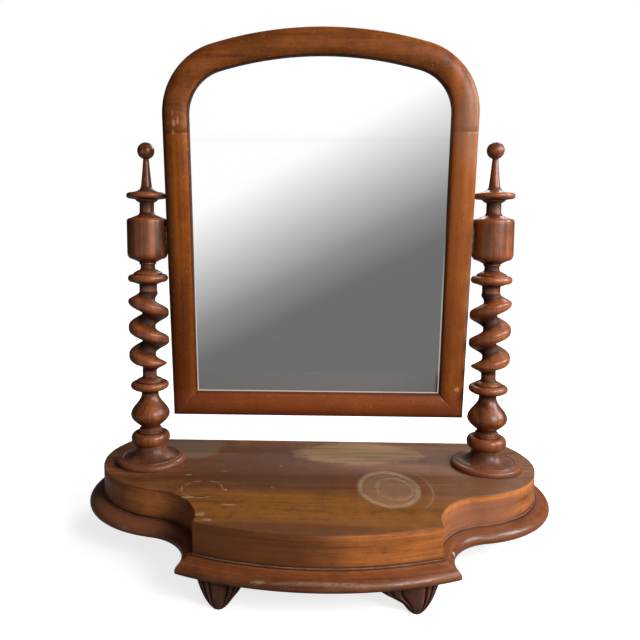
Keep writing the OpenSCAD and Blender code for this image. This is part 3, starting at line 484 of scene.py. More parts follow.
# Painted shade: the discs are a darker copy of the turned mahogany, for the shade in their cove under the
# cushion.
shaded_disc_wood = wood("shaded_disc_mahogany", [(0.05, 0.014, 0.005), (0.13, 0.038, 0.015), (0.22, 0.073, 0.031)],
                 dull=0.34, figure=0.8, seed=8.0, paint=disc_marks, coat=0.15, shine=0.35)
top_wood = wood("top_mahogany", [(0.085, 0.026, 0.007), (0.18, 0.062, 0.017), (0.29, 0.11, 0.03)],
                dull=0.42, figure=0.8, seed=2.0, paint=top_history, coat=0.05)
panel_wood = wood("panel_mahogany", [(0.2, 0.055, 0.012), (0.46, 0.145, 0.034), (0.66, 0.225, 0.055)],
                  dull=0.36, figure=0.8, seed=5.0, paint=panel_painted_light_and_shade)
board_wood = wood("board_mahogany", [(0.08, 0.021, 0.006), (0.185, 0.051, 0.014), (0.3, 0.093, 0.028)],
                  dull=0.34, figure=0.8, seed=9.0, paint=board_marks, coat=0.18, shine=0.35)
foot_wood = wood("foot_mahogany", [(0.06, 0.021, 0.01), (0.14, 0.052, 0.029), (0.22, 0.092, 0.055)],
                 dull=0.45, figure=0.6, seed=3.0, coat=0.05)
mahogany = [frame_wood, arch_wood, turned_wood, shaded_disc_wood, top_wood, panel_wood, board_wood, foot_wood]
print("mahogany finishes:", [finish.name for finish in mahogany])

# %% [markdown]
# ## The hidden softwood, the brass and the steel
# Blocks and the backboard are pale pine, browned by age. The brass plates have gone dull, and the screws are
# grey steel with a breath of rust.

# %% Secondary materials
pine = wood("aged_pine", [(0.29, 0.13, 0.048), (0.45, 0.235, 0.1), (0.58, 0.34, 0.165)],
            dull=0.62, figure=0.9, seed=6.0, coords="object")
DUST = (0.3, 0.22, 0.16)


def dusty_ledge(g, place, base, rough):
    """Dust lies where the slab's upper face shows."""
    x, y, z = g.axes(place)
    dust = z.smooth(MM * (PLINTH_Z - 0.6), MM * PLINTH_Z) * g.noise(place, 90.0, 4.0, 0.7).smooth(0.3, 0.6)
    return g.mix(dust * 0.6, base, DUST), rough + dust * 0.2


inner_board = wood("inner_mahogany", [(0.1, 0.03, 0.013), (0.18, 0.057, 0.023), (0.27, 0.1, 0.04)],
                   dull=0.42, figure=0.7, seed=9.0, coords="object", paint=dusty_ledge)


def metal(name, clean, stained, rough, amount):
    material, g = new_material(name)
    place = g.node("ShaderNodeTexCoord", out=3)
    patina = g.noise(place, 180.0, 5.0, 0.65).smooth(0.4, 0.7)
    scuff = g.noise(g.stretch(place, (300.0, 2600.0, 300.0)), 1.0, 2.0)
    colour = g.mix(patina * amount, clean, stained)
    bump = g.node("ShaderNodeBump", {}, {"Strength": 0.3, "Distance": 0.0001, "Height": scuff})
    values = {"Base Color": colour, "Metallic": 1.0, "Roughness": rough + patina * 0.25 + scuff * 0.1,
              "Normal": bump}
    close_material(g, g.node("ShaderNodeBsdfPrincipled", {}, values))
    return material


brass = metal("old_brass", (0.2, 0.12, 0.05), (0.03, 0.02, 0.012), 0.45, 1.0)
steel = metal("grey_steel", (0.42, 0.41, 0.4), (0.16, 0.08, 0.045), 0.35, 0.6)
print("metals:", brass.name, steel.name)

# %% [markdown]
# ## The silvered glass
# A mirror shows its surroundings, and in the picture these run from white at the top left to an even grey at
# the lower right. Here that fall of light is a painted reflection in the silvering's colour, along a slanting
# line in the plane of the glass, over a smooth reflecting surface with a few specks and a polish that is a
# little cloudy in places. The lower half reflects the floor, which is dim close by, so the painted reflection
# there is divided by what the floor gives at each height. Along the foot a dull diffuse grey is painted in
# place of the reflection, a little darker to the right, where the lamps fall stronger. A pale line that glows
# along the lower rim is a painted glint.

# %% What the glass shows of the floor
CAMERA_PLACE = Vector((-0.00446, MM * POST_Y - 0.82054, 0.39484))
NEAR_FLOOR = 0.17
DIM_WITHIN, BRIGHT_BEYOND = 0.35, 1.3


def soft(t):
    """0 below 0, 1 above 1, with a soft step between them, as a plain number."""
    u = min(1.0, max(0.0, t))
    return u * u * (3 - 2 * u)


def floor_seen(up):
    """How bright the floor is that the camera meets in the glass, at a height over the pivot in metres."""
    facing = Vector((0.0, -math.cos(LEAN), -math.sin(LEAN)))
    spot = Vector((CAMERA_PLACE.x, MM * POST_Y - up * math.sin(LEAN), MM * PIVOT_Z + up * math.cos(LEAN)))
    way = (spot - CAMERA_PLACE).reflect(facing)
    before = way.y * spot.z / way.z - spot.y
    share = soft((before - DIM_WITHIN) / (BRIGHT_BEYOND - DIM_WITHIN))
    return NEAR_FLOOR + (1.0 - NEAR_FLOOR) * share


seen_heights = [float(height) for height in np.linspace(-0.19, -0.01, 10)]
print("floor seen from the foot of the glass up:", [round(floor_seen(height), 3) for height in seen_heights])

# %% The mirror's material
SLANT = 0.54
FALL_LENGTH, FALL_MIDDLE = 0.26, 0.45
REFLECTION_GREYS = [(0.0, 0.153), (0.13, 0.158), (0.325, 0.268), (0.576, 0.54), (0.777, 0.8), (0.9, 0.97), (1.0, 1.0)]
FLOOR_SPAN = 0.2
GREY_FOOT_BELOW, SILVER_ABOVE = -190.0, -174.0
RIM_GLINT = (0.5, 0.46, 0.4)


def grey_ramp(g, share, stops):
    settings = {"stops": [(at, (level, level, level)) for at, level in stops]}
    return g.node("ShaderNodeValToRGB", settings, {"Fac": share})


def silvered_glass():
    material, g = new_material("silvered_glass")
    place = g.node("ShaderNodeTexCoord", out=3)
    x, y, z = g.axes(place)
    up = (z - MM * PIVOT_Z) * math.cos(LEAN) - (y - MM * POST_Y) * math.sin(LEAN)
    # Painted reflection: white at the top left, falling to grey at the lower right.
    painted_reflection = grey_ramp(g, (up - x * SLANT) / FALL_LENGTH + FALL_MIDDLE, REFLECTION_GREYS)
    levels = [(height / FLOOR_SPAN + 1.0, floor_seen(height)) for height in seen_heights]
    painted_reflection = g.mix(1.0, painted_reflection, grey_ramp(g, up / FLOOR_SPAN + 1.0, levels), "DIVIDE")
    speck = g.noise(place, 700.0, 2.0).smooth(0.74, 0.78)
    painted_reflection = g.mix(speck * 0.25, painted_reflection, (0.1, 0.1, 0.1))
    # Painted glint: a pale glowing line along the rim, at the lower sides and the foot.
    inner_half, inner_foot = FRAME_HALF - FRAME_W, FRAME_BELOW - FRAME_W
    beside = x.maths("ABSOLUTE").smooth(MM * (inner_half - 1.6), MM * (inner_half - 1.1))
    below = (0.0 - up).smooth(MM * (inner_foot - 1.6), MM * (inner_foot - 1.1))
    rim_line = beside.maths("MAXIMUM", below) * (1.0 - up.smooth(-0.12, 0.06))
    glint = g.mix(rim_line * 0.8, (0.0, 0.0, 0.0), RIM_GLINT)
    haze = g.noise(place, 14.0, 3.0)
    glow = {"Emission Color": glint, "Emission Strength": 1.0}
    silver = g.node("ShaderNodeBsdfPrincipled", {}, {"Base Color": painted_reflection, "Metallic": 1.0,
                                                     "Roughness": 0.03 + haze * 0.03, **glow})
    # Painted reflection: at the foot a dull diffuse grey, darker to the right against the lamps, takes the
    # mirror's place.
    painted_grey_foot = g.node("ShaderNodeBsdfPrincipled", {}, {"Base Color": 0.245 - x * 0.14, "Roughness": 0.45, **glow})
    painted_grey_share = 1.0 - up.smooth(MM * GREY_FOOT_BELOW, MM * SILVER_ABOVE)
    close_material(g, g.node("ShaderNodeMixShader", {}, {0: painted_grey_share, 1: silver, 2: painted_grey_foot}))
    return material


mirror_finish = silvered_glass()
print("glass:", mirror_finish.name)

# %% [markdown]
# ## Skins over rings
# Most of the woodwork is a section carried along a line: the frame's moulding, the moulded board, the walls.
# Each is a stack of rings with the same number of points, joined by faces and closed at both ends. Faces at
# the ends stay flat, and any edge that turns sharply is marked, so that the rest may be shaded smooth.

# %% Mesh helpers
def finish_mesh(name, bm, smooth_angle=38.0, flat_faces=()):
    """Turns the faces outwards, marks sharp edges and makes the object."""
    flat = set(flat_faces)
    bmesh.ops.recalc_face_normals(bm, faces=bm.faces[:])
    for face in bm.faces:
        face.smooth = True
    for edge in bm.edges:
        turns = edge.calc_face_angle(0.0) > math.radians(smooth_angle)
        edge.smooth = not (turns or any(face in flat for face in edge.link_faces))
    bmesh.ops.triangulate(bm, faces=[face for face in bm.faces if len(face.verts) > 4])
    mesh = bpy.data.meshes.new(name)
    bm.to_mesh(mesh)
    bm.free()
    piece = bpy.data.objects.new(name, mesh)
    bpy.context.collection.objects.link(piece)
    return piece


def skin(name, rings, grain, worn, place=None, smooth_angle=38.0):
    """Closed skin over rings of points in mm. grain and worn hold one value for each point of each ring."""
    count = len(rings[0])
    bm = bmesh.new()
    verts = [[bm.verts.new(Vector(p) * MM) for p in ring] for ring in rings]
    for a, b in zip(verts, verts[1:]):
        for i in range(count):
            j = (i + 1) % count
            bm.faces.new((a[i], b[i], b[j], a[j]))
    ends = [bm.faces.new(verts[0]), bm.faces.new(reversed(verts[-1]))]
    piece = finish_mesh(name, bm, smooth_angle, ends)
    if place is not None:
        piece.data.transform(place)
    write_attributes(piece, np.array(grain, float).reshape(-1, 3) * MM, np.array(worn, float).reshape(-1))
    return piece


def write_attributes(piece, grain, worn):
    mesh = piece.data
    mesh.attributes.new("grain", "FLOAT_VECTOR", "POINT").data.foreach_set("vector", grain.ravel())
    mesh.attributes.new("worn", "FLOAT", "POINT").data.foreach_set("value", worn)


def dress(piece, material, body, slot, *nodes):
    """Gives a piece its material and its body, and hides the CAD nodes that it stands for. The slot is not
    used.
    """
    piece.data.materials.clear()
    piece.data.materials.append(material)
    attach(piece, body)
    if nodes:
        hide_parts(*nodes)
    print(piece.name, len(piece.data.vertices), "vertices")


print("a piece is made by", skin.__name__, "and finished by", dress.__name__)

# %% [markdown]
# ## Wear and painted shade along a section
# A convex corner of a section is rubbed; a concave one is painted dark, partly as dirt, partly as painted
# shade. Comparing each point with the mean of its neighbours along the section tells which is which, so no
# edge has to be picked by hand.

# %% Convexity of a closed loop of points
def convexity(loop, reach=2.2):
    points = np.array(loop, float)
    centre = points.mean(axis=0)
    area = 0.0
    for p, q in zip(points, np.roll(points, -1, axis=0)):
        area += (p[0] - centre[0]) * (q[1] - centre[1]) - (q[0] - centre[0]) * (p[1] - centre[1])
    away = points[:, None, :] - points[None, :, :]
    weight = np.exp(-(away ** 2).sum(axis=2) / (2 * reach ** 2))
    mean = (weight[:, :, None] * points[None, :, :]).sum(axis=1) / weight.sum(axis=1)[:, None]
    along = np.roll(points, -1, axis=0) - np.roll(points, 1, axis=0)
    normal = np.stack([along[:, 1], -along[:, 0]], axis=1) * np.sign(area)
    normal /= np.maximum(np.linalg.norm(normal, axis=1)[:, None], 1e-6)
    return np.clip(((points - mean) * normal).sum(axis=1) / reach * 2.4, -1, 1)


def inset(loop, amount):
    """The same loop, drawn in by an amount along its own normals."""
    points = np.array(loop, float)
    along = np.roll(points, -1, axis=0) - np.roll(points, 1, axis=0)
    along /= np.maximum(np.linalg.norm(along, axis=1)[:, None], 1e-6)
    side = np.stack([-along[:, 1], along[:, 0]], axis=1)
    closed = np.vstack([points, points[:1]])
    turning = (closed[:-1, 0] * closed[1:, 1] - closed[1:, 0] * closed[:-1, 1]).sum()
    return points + side * amount * np.sign(turning)


def run_lengths(points):
    steps = np.linalg.norm(np.diff(np.array(points, float), axis=0), axis=1)
    return np.concatenate([[0.0], np.cumsum(steps)])


ell = [(0, 0), (40, 0), (40, 20), (20, 20), (20, 40), (0, 40), (0, 0)]
ell_run = run_lengths(ell)
fine_ell = np.stack([np.interp(np.arange(ell_run[-1]), ell_run, line) for line in zip(*ell)], axis=1)
outer_side_inner = convexity(fine_ell)[[0, 20, 80]]
print("wear on an L, at an outer corner, a side and the inner corner:", outer_side_inner.round(2))

# %% [markdown]
# ## The frame of the glass
# Four sticks: two stiles, a bottom rail mitred to them, and an arched head sawn from a wide board. They share
# one section, a half-round front over a flat edge with a rebate behind. Each stick's grain runs its own way,
# along the stiles and straight across the head, which is how such frames are told from pressed ones. At each
# joint the section shrinks by a hair, which leaves the fine line that glue joints show after a century.

# %% The section of the moulding
EDGE = 14.0
DOME = 9.0
LIP = 4.0
REBATE_IN = 25.0
dome_line = [(FRAME_W / 2 * (1 - math.cos(a)), EDGE / 2 + DOME * math.sin(a))
             for a in np.linspace(0.0, math.pi, 41)]
back = -EDGE / 2
face = EDGE / 2 - LIP
section = [(0.6, back), (0.15, back + 0.2), (0.0, back + 0.7), (0.0, 0.0), *dome_line, (FRAME_W, face + 0.5),
           (FRAME_W - 0.4, face), (REBATE_IN, face), (REBATE_IN, back)]
section_wear_and_shade = convexity(section, 2.0)
section_run = run_lengths(section)
for index, (across, height) in enumerate(section):
    if height > EDGE / 2 + 1.0:
        section_wear_and_shade[index] += 0.25 * math.exp(-((across - 15.0) / 5.0) ** 2)
    # Painted shadow: the inner edge beside the glass is made dark.
    if across > FRAME_W - 1.5:
        section_wear_and_shade[index] = -0.9
hang = Matrix.Translation((0, MM * POST_Y, MM * PIVOT_Z)) @ Matrix.Rotation(math.radians(90) + LEAN, 4, "X")
SEAM = 0.22
SEAM_DIRT = 0.9
print("section points:", len(section))

# %% Stiles and rail
def stick(name, place_of, start_of, end_of, along_axis):
    """A stick whose section is placed by place_of(point, along); its ends depend on the section's point."""
    shares = [0.0, 0.002, *np.linspace(0.01, 0.99, 24), 0.998, 1.0]
    rings, grain, worn = [], [], []
    for share in shares:
        at_end = share in (0.0, 1.0)
        loop = inset(section, SEAM) if at_end else section
        ring = []
        for k, p in enumerate(loop):
            along = start_of(p) + (end_of(p) - start_of(p)) * share
            ring.append(place_of(p, along))
            grain.append((along, section_run[k], 0.35 * p[1] + 40.0 * along_axis))
            worn.append(section_wear_and_shade[k] - (SEAM_DIRT if at_end else 0.0))
        rings.append(ring)
    return skin(name, rings, grain, worn, hang)


for side, name in ((1, "right"), (-1, "left")):
    stile = stick(f"stile_{name}", lambda p, along: (side * (FRAME_HALF - p[0]), along, p[1]),
                  lambda p: p[0] - FRAME_BELOW, lambda p: JOINT_UP, side)
    dress(stile, frame_wood, "mirror", "frame_wood", f"frame_stile_{name}")
rail = stick("bottom_rail", lambda p, along: (along, p[0] - FRAME_BELOW, p[1]),
             lambda p: p[0] - FRAME_HALF, lambda p: FRAME_HALF - p[0], 3)
dress(rail, frame_wood, "mirror", "frame_wood", "frame_rail")

# %% The arched head
SHOULDER_R = 88.0
CROWN_R = 490.0
crown_y = SPRING_UP - math.sqrt((CROWN_R - SHOULDER_R) ** 2 - (FRAME_HALF - SHOULDER_R) ** 2)
crown_a = math.asin((FRAME_HALF - SHOULDER_R) / (CROWN_R - SHOULDER_R))


def arch_station(centre, radius, angle):
    """Returns what places a point of the section at an angle round a centre."""
    def place(p):
        reach = radius - p[0]
        return centre[0] + reach * math.cos(angle), centre[1] + reach * math.sin(angle), p[1]
    return place


shoulder = (FRAME_HALF - SHOULDER_R, SPRING_UP)
turn = math.pi / 2 - crown_a
OVER_JOINT = (0.0, 0.35, 8.0, 15.0)
stations = [arch_station((0, JOINT_UP + u), FRAME_HALF, 0.0) for u in OVER_JOINT]
stations += [arch_station(shoulder, SHOULDER_R, a) for a in np.linspace(0.0, turn, 33)]
stations += [arch_station((0, crown_y), CROWN_R, a) for a in np.linspace(turn, turn + 2 * crown_a, 33)[1:]]
stations += [arch_station((-shoulder[0], SPRING_UP), SHOULDER_R, a)
             for a in np.linspace(math.pi / 2 + crown_a, math.pi, 33)[1:]]
stations += [arch_station((0, JOINT_UP + u), FRAME_HALF, math.pi) for u in reversed(OVER_JOINT)]
rings, grain, worn = [], [], []
for number, station in enumerate(stations):
    at_end = number in (0, len(stations) - 1)
    loop = inset(section, SEAM) if at_end else section
    ring = [station(p) for p in loop]
    rings.append(ring)
    grain += [(q[0], q[1], q[2] * 1.5) for q in ring]
    worn += [w - (SEAM_DIRT if at_end else 0.0) for w in section_wear_and_shade]
head = skin("arched_head", rings, grain, worn, hang)
dress(head, arch_wood, "mirror", "arch_wood", "frame_arch")

# %% [markdown]
# ## The outline of the base
# The plan is made of arcs: a bow at the front, a hollow beyond each sharp corner, and a round end under each
# post. Grown or shrunk by a distance, the same arcs give the walls, the fillet and every line of the
# moulding. Each arc has a fixed number of points, so that all these lines can be joined point by point.

# %% The plan as points
CORNER = np.array([134.0, -178.0])
BOW_RISE = 25.0
HOLLOW_R = 78.0
LOBE_R = 121.0
BACK = 89.0
BACK_GROW = 8.0
OVERHANG = 19.0
FRONT_OVERHANG = 23.0
HOLLOW_OVERHANG = 16.0
TIP_WAY = np.array([16.5, -17.5])
BOW_N, HOLLOW_N, LOBE_N = 26, 30, 60
BACK_N = BOW_N + HOLLOW_N + LOBE_N
bow_r = (CORNER[0] ** 2 + BOW_RISE ** 2) / (2 * BOW_RISE)
bow_c = np.array([0.0, bow_r + CORNER[1] - BOW_RISE])
lobe_c = np.array([POST_X - 56.0, 20.0])


def crossing(c1, r1, c2, r2):
    """Where two circles cross, on the right of the way from the first centre to the second."""
    way = c2 - c1
    gap = np.linalg.norm(way)
    a = (r1 * r1 - r2 * r2 + gap * gap) / (2 * gap)
    h = math.sqrt(r1 * r1 - a * a)
    return c1 + a * way / gap - h * np.array([-way[1], way[0]]) / gap


def turn_of(way):
    return math.atan2(way[1], way[0])


def circle_part(c, r, a0, a1, n, first):
    angles = a0 + (a1 - a0) * np.arange(first, n + 1) / n
    return c + r * np.stack([np.cos(angles), np.sin(angles)], axis=1)


hollow_c = crossing(CORNER, HOLLOW_R, lobe_c, HOLLOW_R + LOBE_R)


def bow_of(grow):
    """Corner, middle and radius of the bowed front when the plan has grown."""
    share = max(grow, 0.0) / OVERHANG
    corner = CORNER + share * TIP_WAY
    reach = BOW_RISE - CORNER[1] + share * FRONT_OVERHANG
    if grow <= 0:
        corner = crossing(bow_c, bow_r + grow, hollow_c, HOLLOW_R - grow)
        reach = BOW_RISE - CORNER[1] + grow
    rise = reach + corner[1]
    radius = (corner[0] ** 2 + rise ** 2) / (2 * rise)
    return corner, np.array([0.0, radius - reach]), radius


def half_plan(grow, back_grow):
    """Right half of the plan, from the middle of the front to the end of the back."""
    corner, bow_mid, radius = bow_of(grow)
    hollow = HOLLOW_R - (grow * HOLLOW_OVERHANG / OVERHANG if grow > 0 else grow)
    hollow_mid = crossing(corner, hollow, lobe_c, hollow + LOBE_R + grow)
    join = turn_of(lobe_c - hollow_mid)
    end_y = BACK + back_grow
    end = np.array([lobe_c[0] + math.sqrt((LOBE_R + grow) ** 2 - (end_y - lobe_c[1]) ** 2), end_y])
    bow = circle_part(bow_mid, radius, -math.pi / 2, turn_of(corner - bow_mid), BOW_N, 0)
    bend = circle_part(hollow_mid, hollow, math.pi + turn_of(hollow_mid - corner), join, HOLLOW_N, 1)
    lobe = circle_part(lobe_c, LOBE_R + grow, join - math.pi, turn_of(end - lobe_c), LOBE_N, 1)
    return np.vstack([bow, bend, lobe])


plan_run = run_lengths(half_plan(0.0, 0.0))


def full_plan(grow, back_grow):
    half = half_plan(grow, back_grow)
    flipped = half[:0:-1] * np.array([-1.0, 1.0])
    return np.vstack([half, flipped])


full_run = np.concatenate([plan_run, -plan_run[:0:-1]])
print("plan points:", len(full_plan(0.0, 0.0)))

# %% [markdown]
# ## The moulded board
# A thumbnail moulding is worked round the front and the ends: a small step at the top, a long quarter round
# out to the nose, and a short quick curve under it. It is carried through more than two hundred places of the
# plan. At the sharp front corners the moulding is rubbed a little paler.

# %% The moulding round the board
FILLET = 1.6
NOSE_H = 4.2
BOARD_T = 15.0
NOSE_IN = 2.5
nose_line = [(OVERHANG - NOSE_IN + NOSE_IN * math.sin(a), NOSE_H * (1 - math.cos(a)))
             for a in np.linspace(0, math.pi / 2, 12)]
thumb_line = [(FILLET + (OVERHANG - FILLET) * math.cos(a), NOSE_H + (BOARD_T - NOSE_H - 1) * math.sin(a))
              for a in np.linspace(0, math.pi / 2, 30)[1:]]
board_section = [(FILLET, 0.0), *nose_line, *thumb_line]
board_wear_and_shade = convexity(board_section, 2.0)
# Painted shade: the inner foot of the moulding, and its top where it meets the plinth, are made dark.
board_wear_and_shade[0] = -0.5
board_wear_and_shade[-1] = -1.0
board_wear_and_shade[-2] = -0.7
board_run = run_lengths(board_section)
NOSE_FIRST, NOSE_LAST = 6, 40
halves = [half_plan(p[0], BACK_GROW) for p in board_section]
rings, grain, worn = [], [], []
for j in range(-BACK_N, BACK_N + 1):
    side = -1 if j < 0 else 1
    corner_wear = 0.5 * math.exp(-((abs(j) - BOW_N) / 1.2) ** 2)
    ring = [(side * half[abs(j)][0], half[abs(j)][1] + POST_Y, BOARD_Z + p[1])
            for half, p in zip(halves, board_section)]
    rings.append(ring)
    grain += [(side * plan_run[abs(j)], run, 0.0) for run in board_run]
    worn += [w + (corner_wear if NOSE_FIRST < i < NOSE_LAST else 0.0) for i, w in enumerate(board_wear_and_shade)]
moulding = skin("board_moulding_fine", rings, grain, worn, smooth_angle=32.0)
dress(moulding, board_wood, "stand", "board_wood", "board_moulding")

# %% [markdown]
# ## The walls of the box
# Thin panels follow the plan. The outer skin is what shows: mahogany with its grain running round the box,
# and a dark line of painted shade at the foot. Each wall is one upright ring of points, carried along its
# part of the plan. The outer side has more points than the inner one, because its wear and painted shade
# change with the height.

# %% Front and sides of the plinth
WALL = 10.0
PANEL_H = TOP_Z - TOP_T - PLINTH_Z
outer = half_plan(0.0, 0.0)
inner = half_plan(-WALL, -WALL)
wall_levels = (0.0, 0.8, 2.5, 6.0, 12.0, 20.0, PANEL_H - 0.5, PANEL_H)
# Painted shade: the walls are darkest at the foot and a little dark at the top edge.
wall_wear_and_shade = (-0.9, -0.75, -0.35, -0.08, 0.0, 0.0, 0.0, -0.15)


def wall_station(j):
    """The upright ring of a wall at one place of the plan, with its grain and its wear."""
    side = -1 if j < 0 else 1
    out = outer[abs(j)] * (side, 1)
    into = inner[abs(j)] * (side, 1)
    ring = [(out[0], out[1] + POST_Y, PLINTH_Z + h) for h in wall_levels]
    ring += [(into[0], into[1] + POST_Y, PLINTH_Z + PANEL_H), (into[0], into[1] + POST_Y, PLINTH_Z)]
    run = side * plan_run[abs(j)]
    grain = [(run, h, 0.0) for h in wall_levels] + [(run, PANEL_H + WALL, 0.0), (run, 2 * PANEL_H, 0.0)]
    return ring, grain, [*wall_wear_and_shade, -0.5, -0.5]


def wall(name, places, *nodes):
    """A wall along these places. At the back, its inner edge is drawn out as far as the outer one."""
    parts = [wall_station(j) for j in places]
    grain = [v for part in parts for v in part[1]]
    worn = [v for part in parts for v in part[2]]
    if BACK_N in places or -BACK_N in places:
        last = -1 if BACK_N in places else 0
        ring = parts[last][0]
        for k in (-2, -1):
            ring[k] = (ring[k][0], BACK + POST_Y, ring[k][2])
    piece = skin(name, [part[0] for part in parts], grain, worn, smooth_angle=32.0)
    dress(piece, panel_wood, "stand", "panel_wood", *nodes)


wall("plinth_front_panel", list(range(-BOW_N, BOW_N + 1)), "plinth_front")
wall("plinth_right_panel", list(range(BOW_N, BACK_N + 1)), "plinth_side_right")
wall("plinth_left_panel", list(range(-BACK_N, -BOW_N + 1)), "plinth_side_left")

# %% [markdown]
# ## The top board
# A flat board, flush with the walls. Its upper arris is not a ruled line any more: dusters and knocks have
# rounded it unevenly, so the radius wanders along the edge between a third of a millimetre and two. Three
# waves of different lengths, added up, give a line that never seems to repeat.

# %% The top, with a wandering arris
WAVES = ((0.31, 1.0, 0.5), (0.83, 4.0, 0.3), (1.9, 2.2, 0.25))
DRAWN_IN = 4.0
bottom = full_plan(0.0, 0.0)
steps = np.arange(len(bottom))
wander = sum(np.sin(steps * pace + start) * height for pace, start, height in WAVES)
arris = np.clip(0.75 + 0.5 * wander, 0.3, 1.9)
way_in = (full_plan(-DRAWN_IN, -DRAWN_IN) - bottom) / DRAWN_IN
rings, grain, worn = [], [], []
for number, angle in enumerate([None, None, *np.linspace(0, math.pi / 2, 7)]):
    ring = []
    for j, (p, w, r) in enumerate(zip(bottom, way_in, arris)):
        if angle is None:
            height, draw = (0.0, 0.0) if number == 0 else (TOP_T * 0.4, 0.0)
        else:
            height, draw = TOP_T - r + r * math.sin(angle), r * (1 - math.cos(angle))
        q = p + w * draw
        ring.append((q[0], q[1] + POST_Y, TOP_Z - TOP_T + height))
        on_top = angle is not None and angle > 1.2
        grain.append((q[0], q[1], 0.0) if on_top else (full_run[j], height + 200.0, 0.0))
        worn.append(0.0 if angle is None else (0.8 * max(0.0, r - 1.0) - 0.3) * math.sin(2 * angle))
    rings.append(ring)
top = skin("top_board_fine", rings, grain, worn, smooth_angle=50.0)
dress(top, top_wood, "stand", "top_wood", "top_board")

# %% [markdown]
# ## The twist as a rule
# The posts are the main pieces with a rule to their shape. A turned outline is spun round an axis, and
# between two necks one rounded ridge winds round a thin core. A Geometry Nodes tree suits this: the outline
# comes in as a line of points, a grid of points is wrapped round the axis, and a short formula gives each
# point its distance from it. The sizes of the twist are named inputs. A left and a right post differ by one.

# %% Helpers for node trees
def new_tree(name, inputs):
    """A Geometry Nodes tree with named inputs. Returns the graph, the inputs and the tree."""
    tree = bpy.data.node_groups.new(name, "GeometryNodeTree")
    tree.interface.new_socket("Geometry", in_out="INPUT", socket_type="NodeSocketGeometry")
    for label, kind, value in inputs:
        socket = tree.interface.new_socket(label, in_out="INPUT", socket_type=kind)
        if value is not None:
            socket.default_value = value
    tree.interface.new_socket("Geometry", in_out="OUTPUT", socket_type="NodeSocketGeometry")
    g = Graph(tree)
    source = tree.nodes.new("NodeGroupInput")
    return g, {socket.name: Wire(g, socket) for socket in source.outputs if socket.name}, tree


def close_tree(g, geometry, material):
    realized = g.node("GeometryNodeRealizeInstances", {}, {"Geometry": geometry})
    painted = g.node("GeometryNodeSetMaterial", {}, {"Geometry": realized, "Material": material})
    output = g.nodes.new("NodeGroupOutput")
    g.links.new(painted.socket, output.inputs["Geometry"])


def grow_tree(name, points, tree, settings, attributes=None):
    """Runs a tree on a line or cloud of points in mm, and returns the result as a bmesh."""
    seed = bpy.data.meshes.new(name + "_points")
    seed.from_pydata([tuple(MM * c for c in p) for p in points], [], [])
    for label, values in (attributes or {}).items():
        attribute = seed.attributes.new(label, "FLOAT_VECTOR", "POINT")
        attribute.data.foreach_set("vector", np.array(values, float).ravel())
    carrier = bpy.data.objects.new(name + "_carrier", seed)
    bpy.context.collection.objects.link(carrier)
    modifier = carrier.modifiers.new("tree", "NODES")
    modifier.node_group = tree
    for item in tree.interface.items_tree:
        if item.item_type == "SOCKET" and item.in_out == "INPUT" and item.name in settings:
            modifier[item.identifier] = settings[item.name]
    evaluated = carrier.evaluated_get(bpy.context.evaluated_depsgraph_get())
    mesh = bpy.data.meshes.new_from_object(evaluated)
    bpy.data.objects.remove(carrier)
    bm = bmesh.new()
    bm.from_mesh(mesh)
    return bm


print("a tree is run by", grow_tree.__name__)

# %% The tree that turns and twists
TWIST_RUN_IN = 0.013
RIDGE_FULLNESS = 0.95
turning_inputs = [
    ("Sides", "NodeSocketInt", 96),
    ("Twist Foot", "NodeSocketFloat", 0.0), ("Twist Length", "NodeSocketFloat", 0.0),
    ("Pitch", "NodeSocketFloat", 0.037), ("Ridge Radius", "NodeSocketFloat", 0.02625),
    ("Core Radius", "NodeSocketFloat", 0.00875), ("Foot Radius", "NodeSocketFloat", 0.0093),
    ("Head Radius", "NodeSocketFloat", 0.0115), ("Start Angle", "NodeSocketFloat", 0.0),
    ("Hand", "NodeSocketFloat", 1.0), ("Material", "NodeSocketMaterial", None)]
g, inp, turning_tree = new_tree("spun_and_twisted", turning_inputs)
count = g.node("GeometryNodeAttributeDomainSize", {"component": "MESH"}, {"Geometry": inp["Geometry"]})
grid = g.node("GeometryNodeMeshGrid", {}, {"Vertices X": inp["Sides"] + 1.0, "Vertices Y": count})
index = g.node("GeometryNodeInputIndex")
row = index.maths("MODULO", count)
column = (index / count).maths("FLOOR")
around = column / inp["Sides"] * (2 * math.pi)
line_point = g.node("GeometryNodeSampleIndex", {"data_type": "FLOAT_VECTOR"},
                    {"Geometry": inp["Geometry"], "Value": g.node("GeometryNodeInputPosition"), "Index": row})
line_r, line_y, height = g.axes(line_point)
up = height - inp["Twist Foot"]
down = inp["Twist Length"] - up
fade = up.smooth(0.0, TWIST_RUN_IN) * down.smooth(0.0, TWIST_RUN_IN)
in_upper_half = up.maths("GREATER_THAN", down)
end_radius = inp["Foot Radius"] + (inp["Head Radius"] - inp["Foot Radius"]) * in_upper_half
core = end_radius + (inp["Core Radius"] - end_radius) * fade
flipped = around * inp["Hand"] + (1.0 - inp["Hand"]) * (math.pi / 2)
winding = flipped - inp["Start Angle"] - up / inp["Pitch"] * (2 * math.pi)
ridge = winding.maths("COSINE").smooth(-1.0, 1.0) ** RIDGE_FULLNESS
twisted = core + (inp["Ridge Radius"] - core) * fade * ridge
in_twist = up.maths("GREATER_THAN", 0.0) * down.maths("GREATER_THAN", 0.0)
radius = line_r + (twisted - line_r) * in_twist
spot = g.node("ShaderNodeCombineXYZ", {}, {"X": radius * around.maths("COSINE"),
                                           "Y": radius * around.maths("SINE"), "Z": height})
wrapped = g.node("GeometryNodeSetPosition", {}, {"Geometry": grid, "Position": spot})
SEWING = 0.000002
sewn = g.node("GeometryNodeMergeByDistance", {}, {"Geometry": wrapped, "Distance": SEWING})
close_tree(g, sewn, inp["Material"])
print("turning tree nodes:", len(turning_tree.nodes))

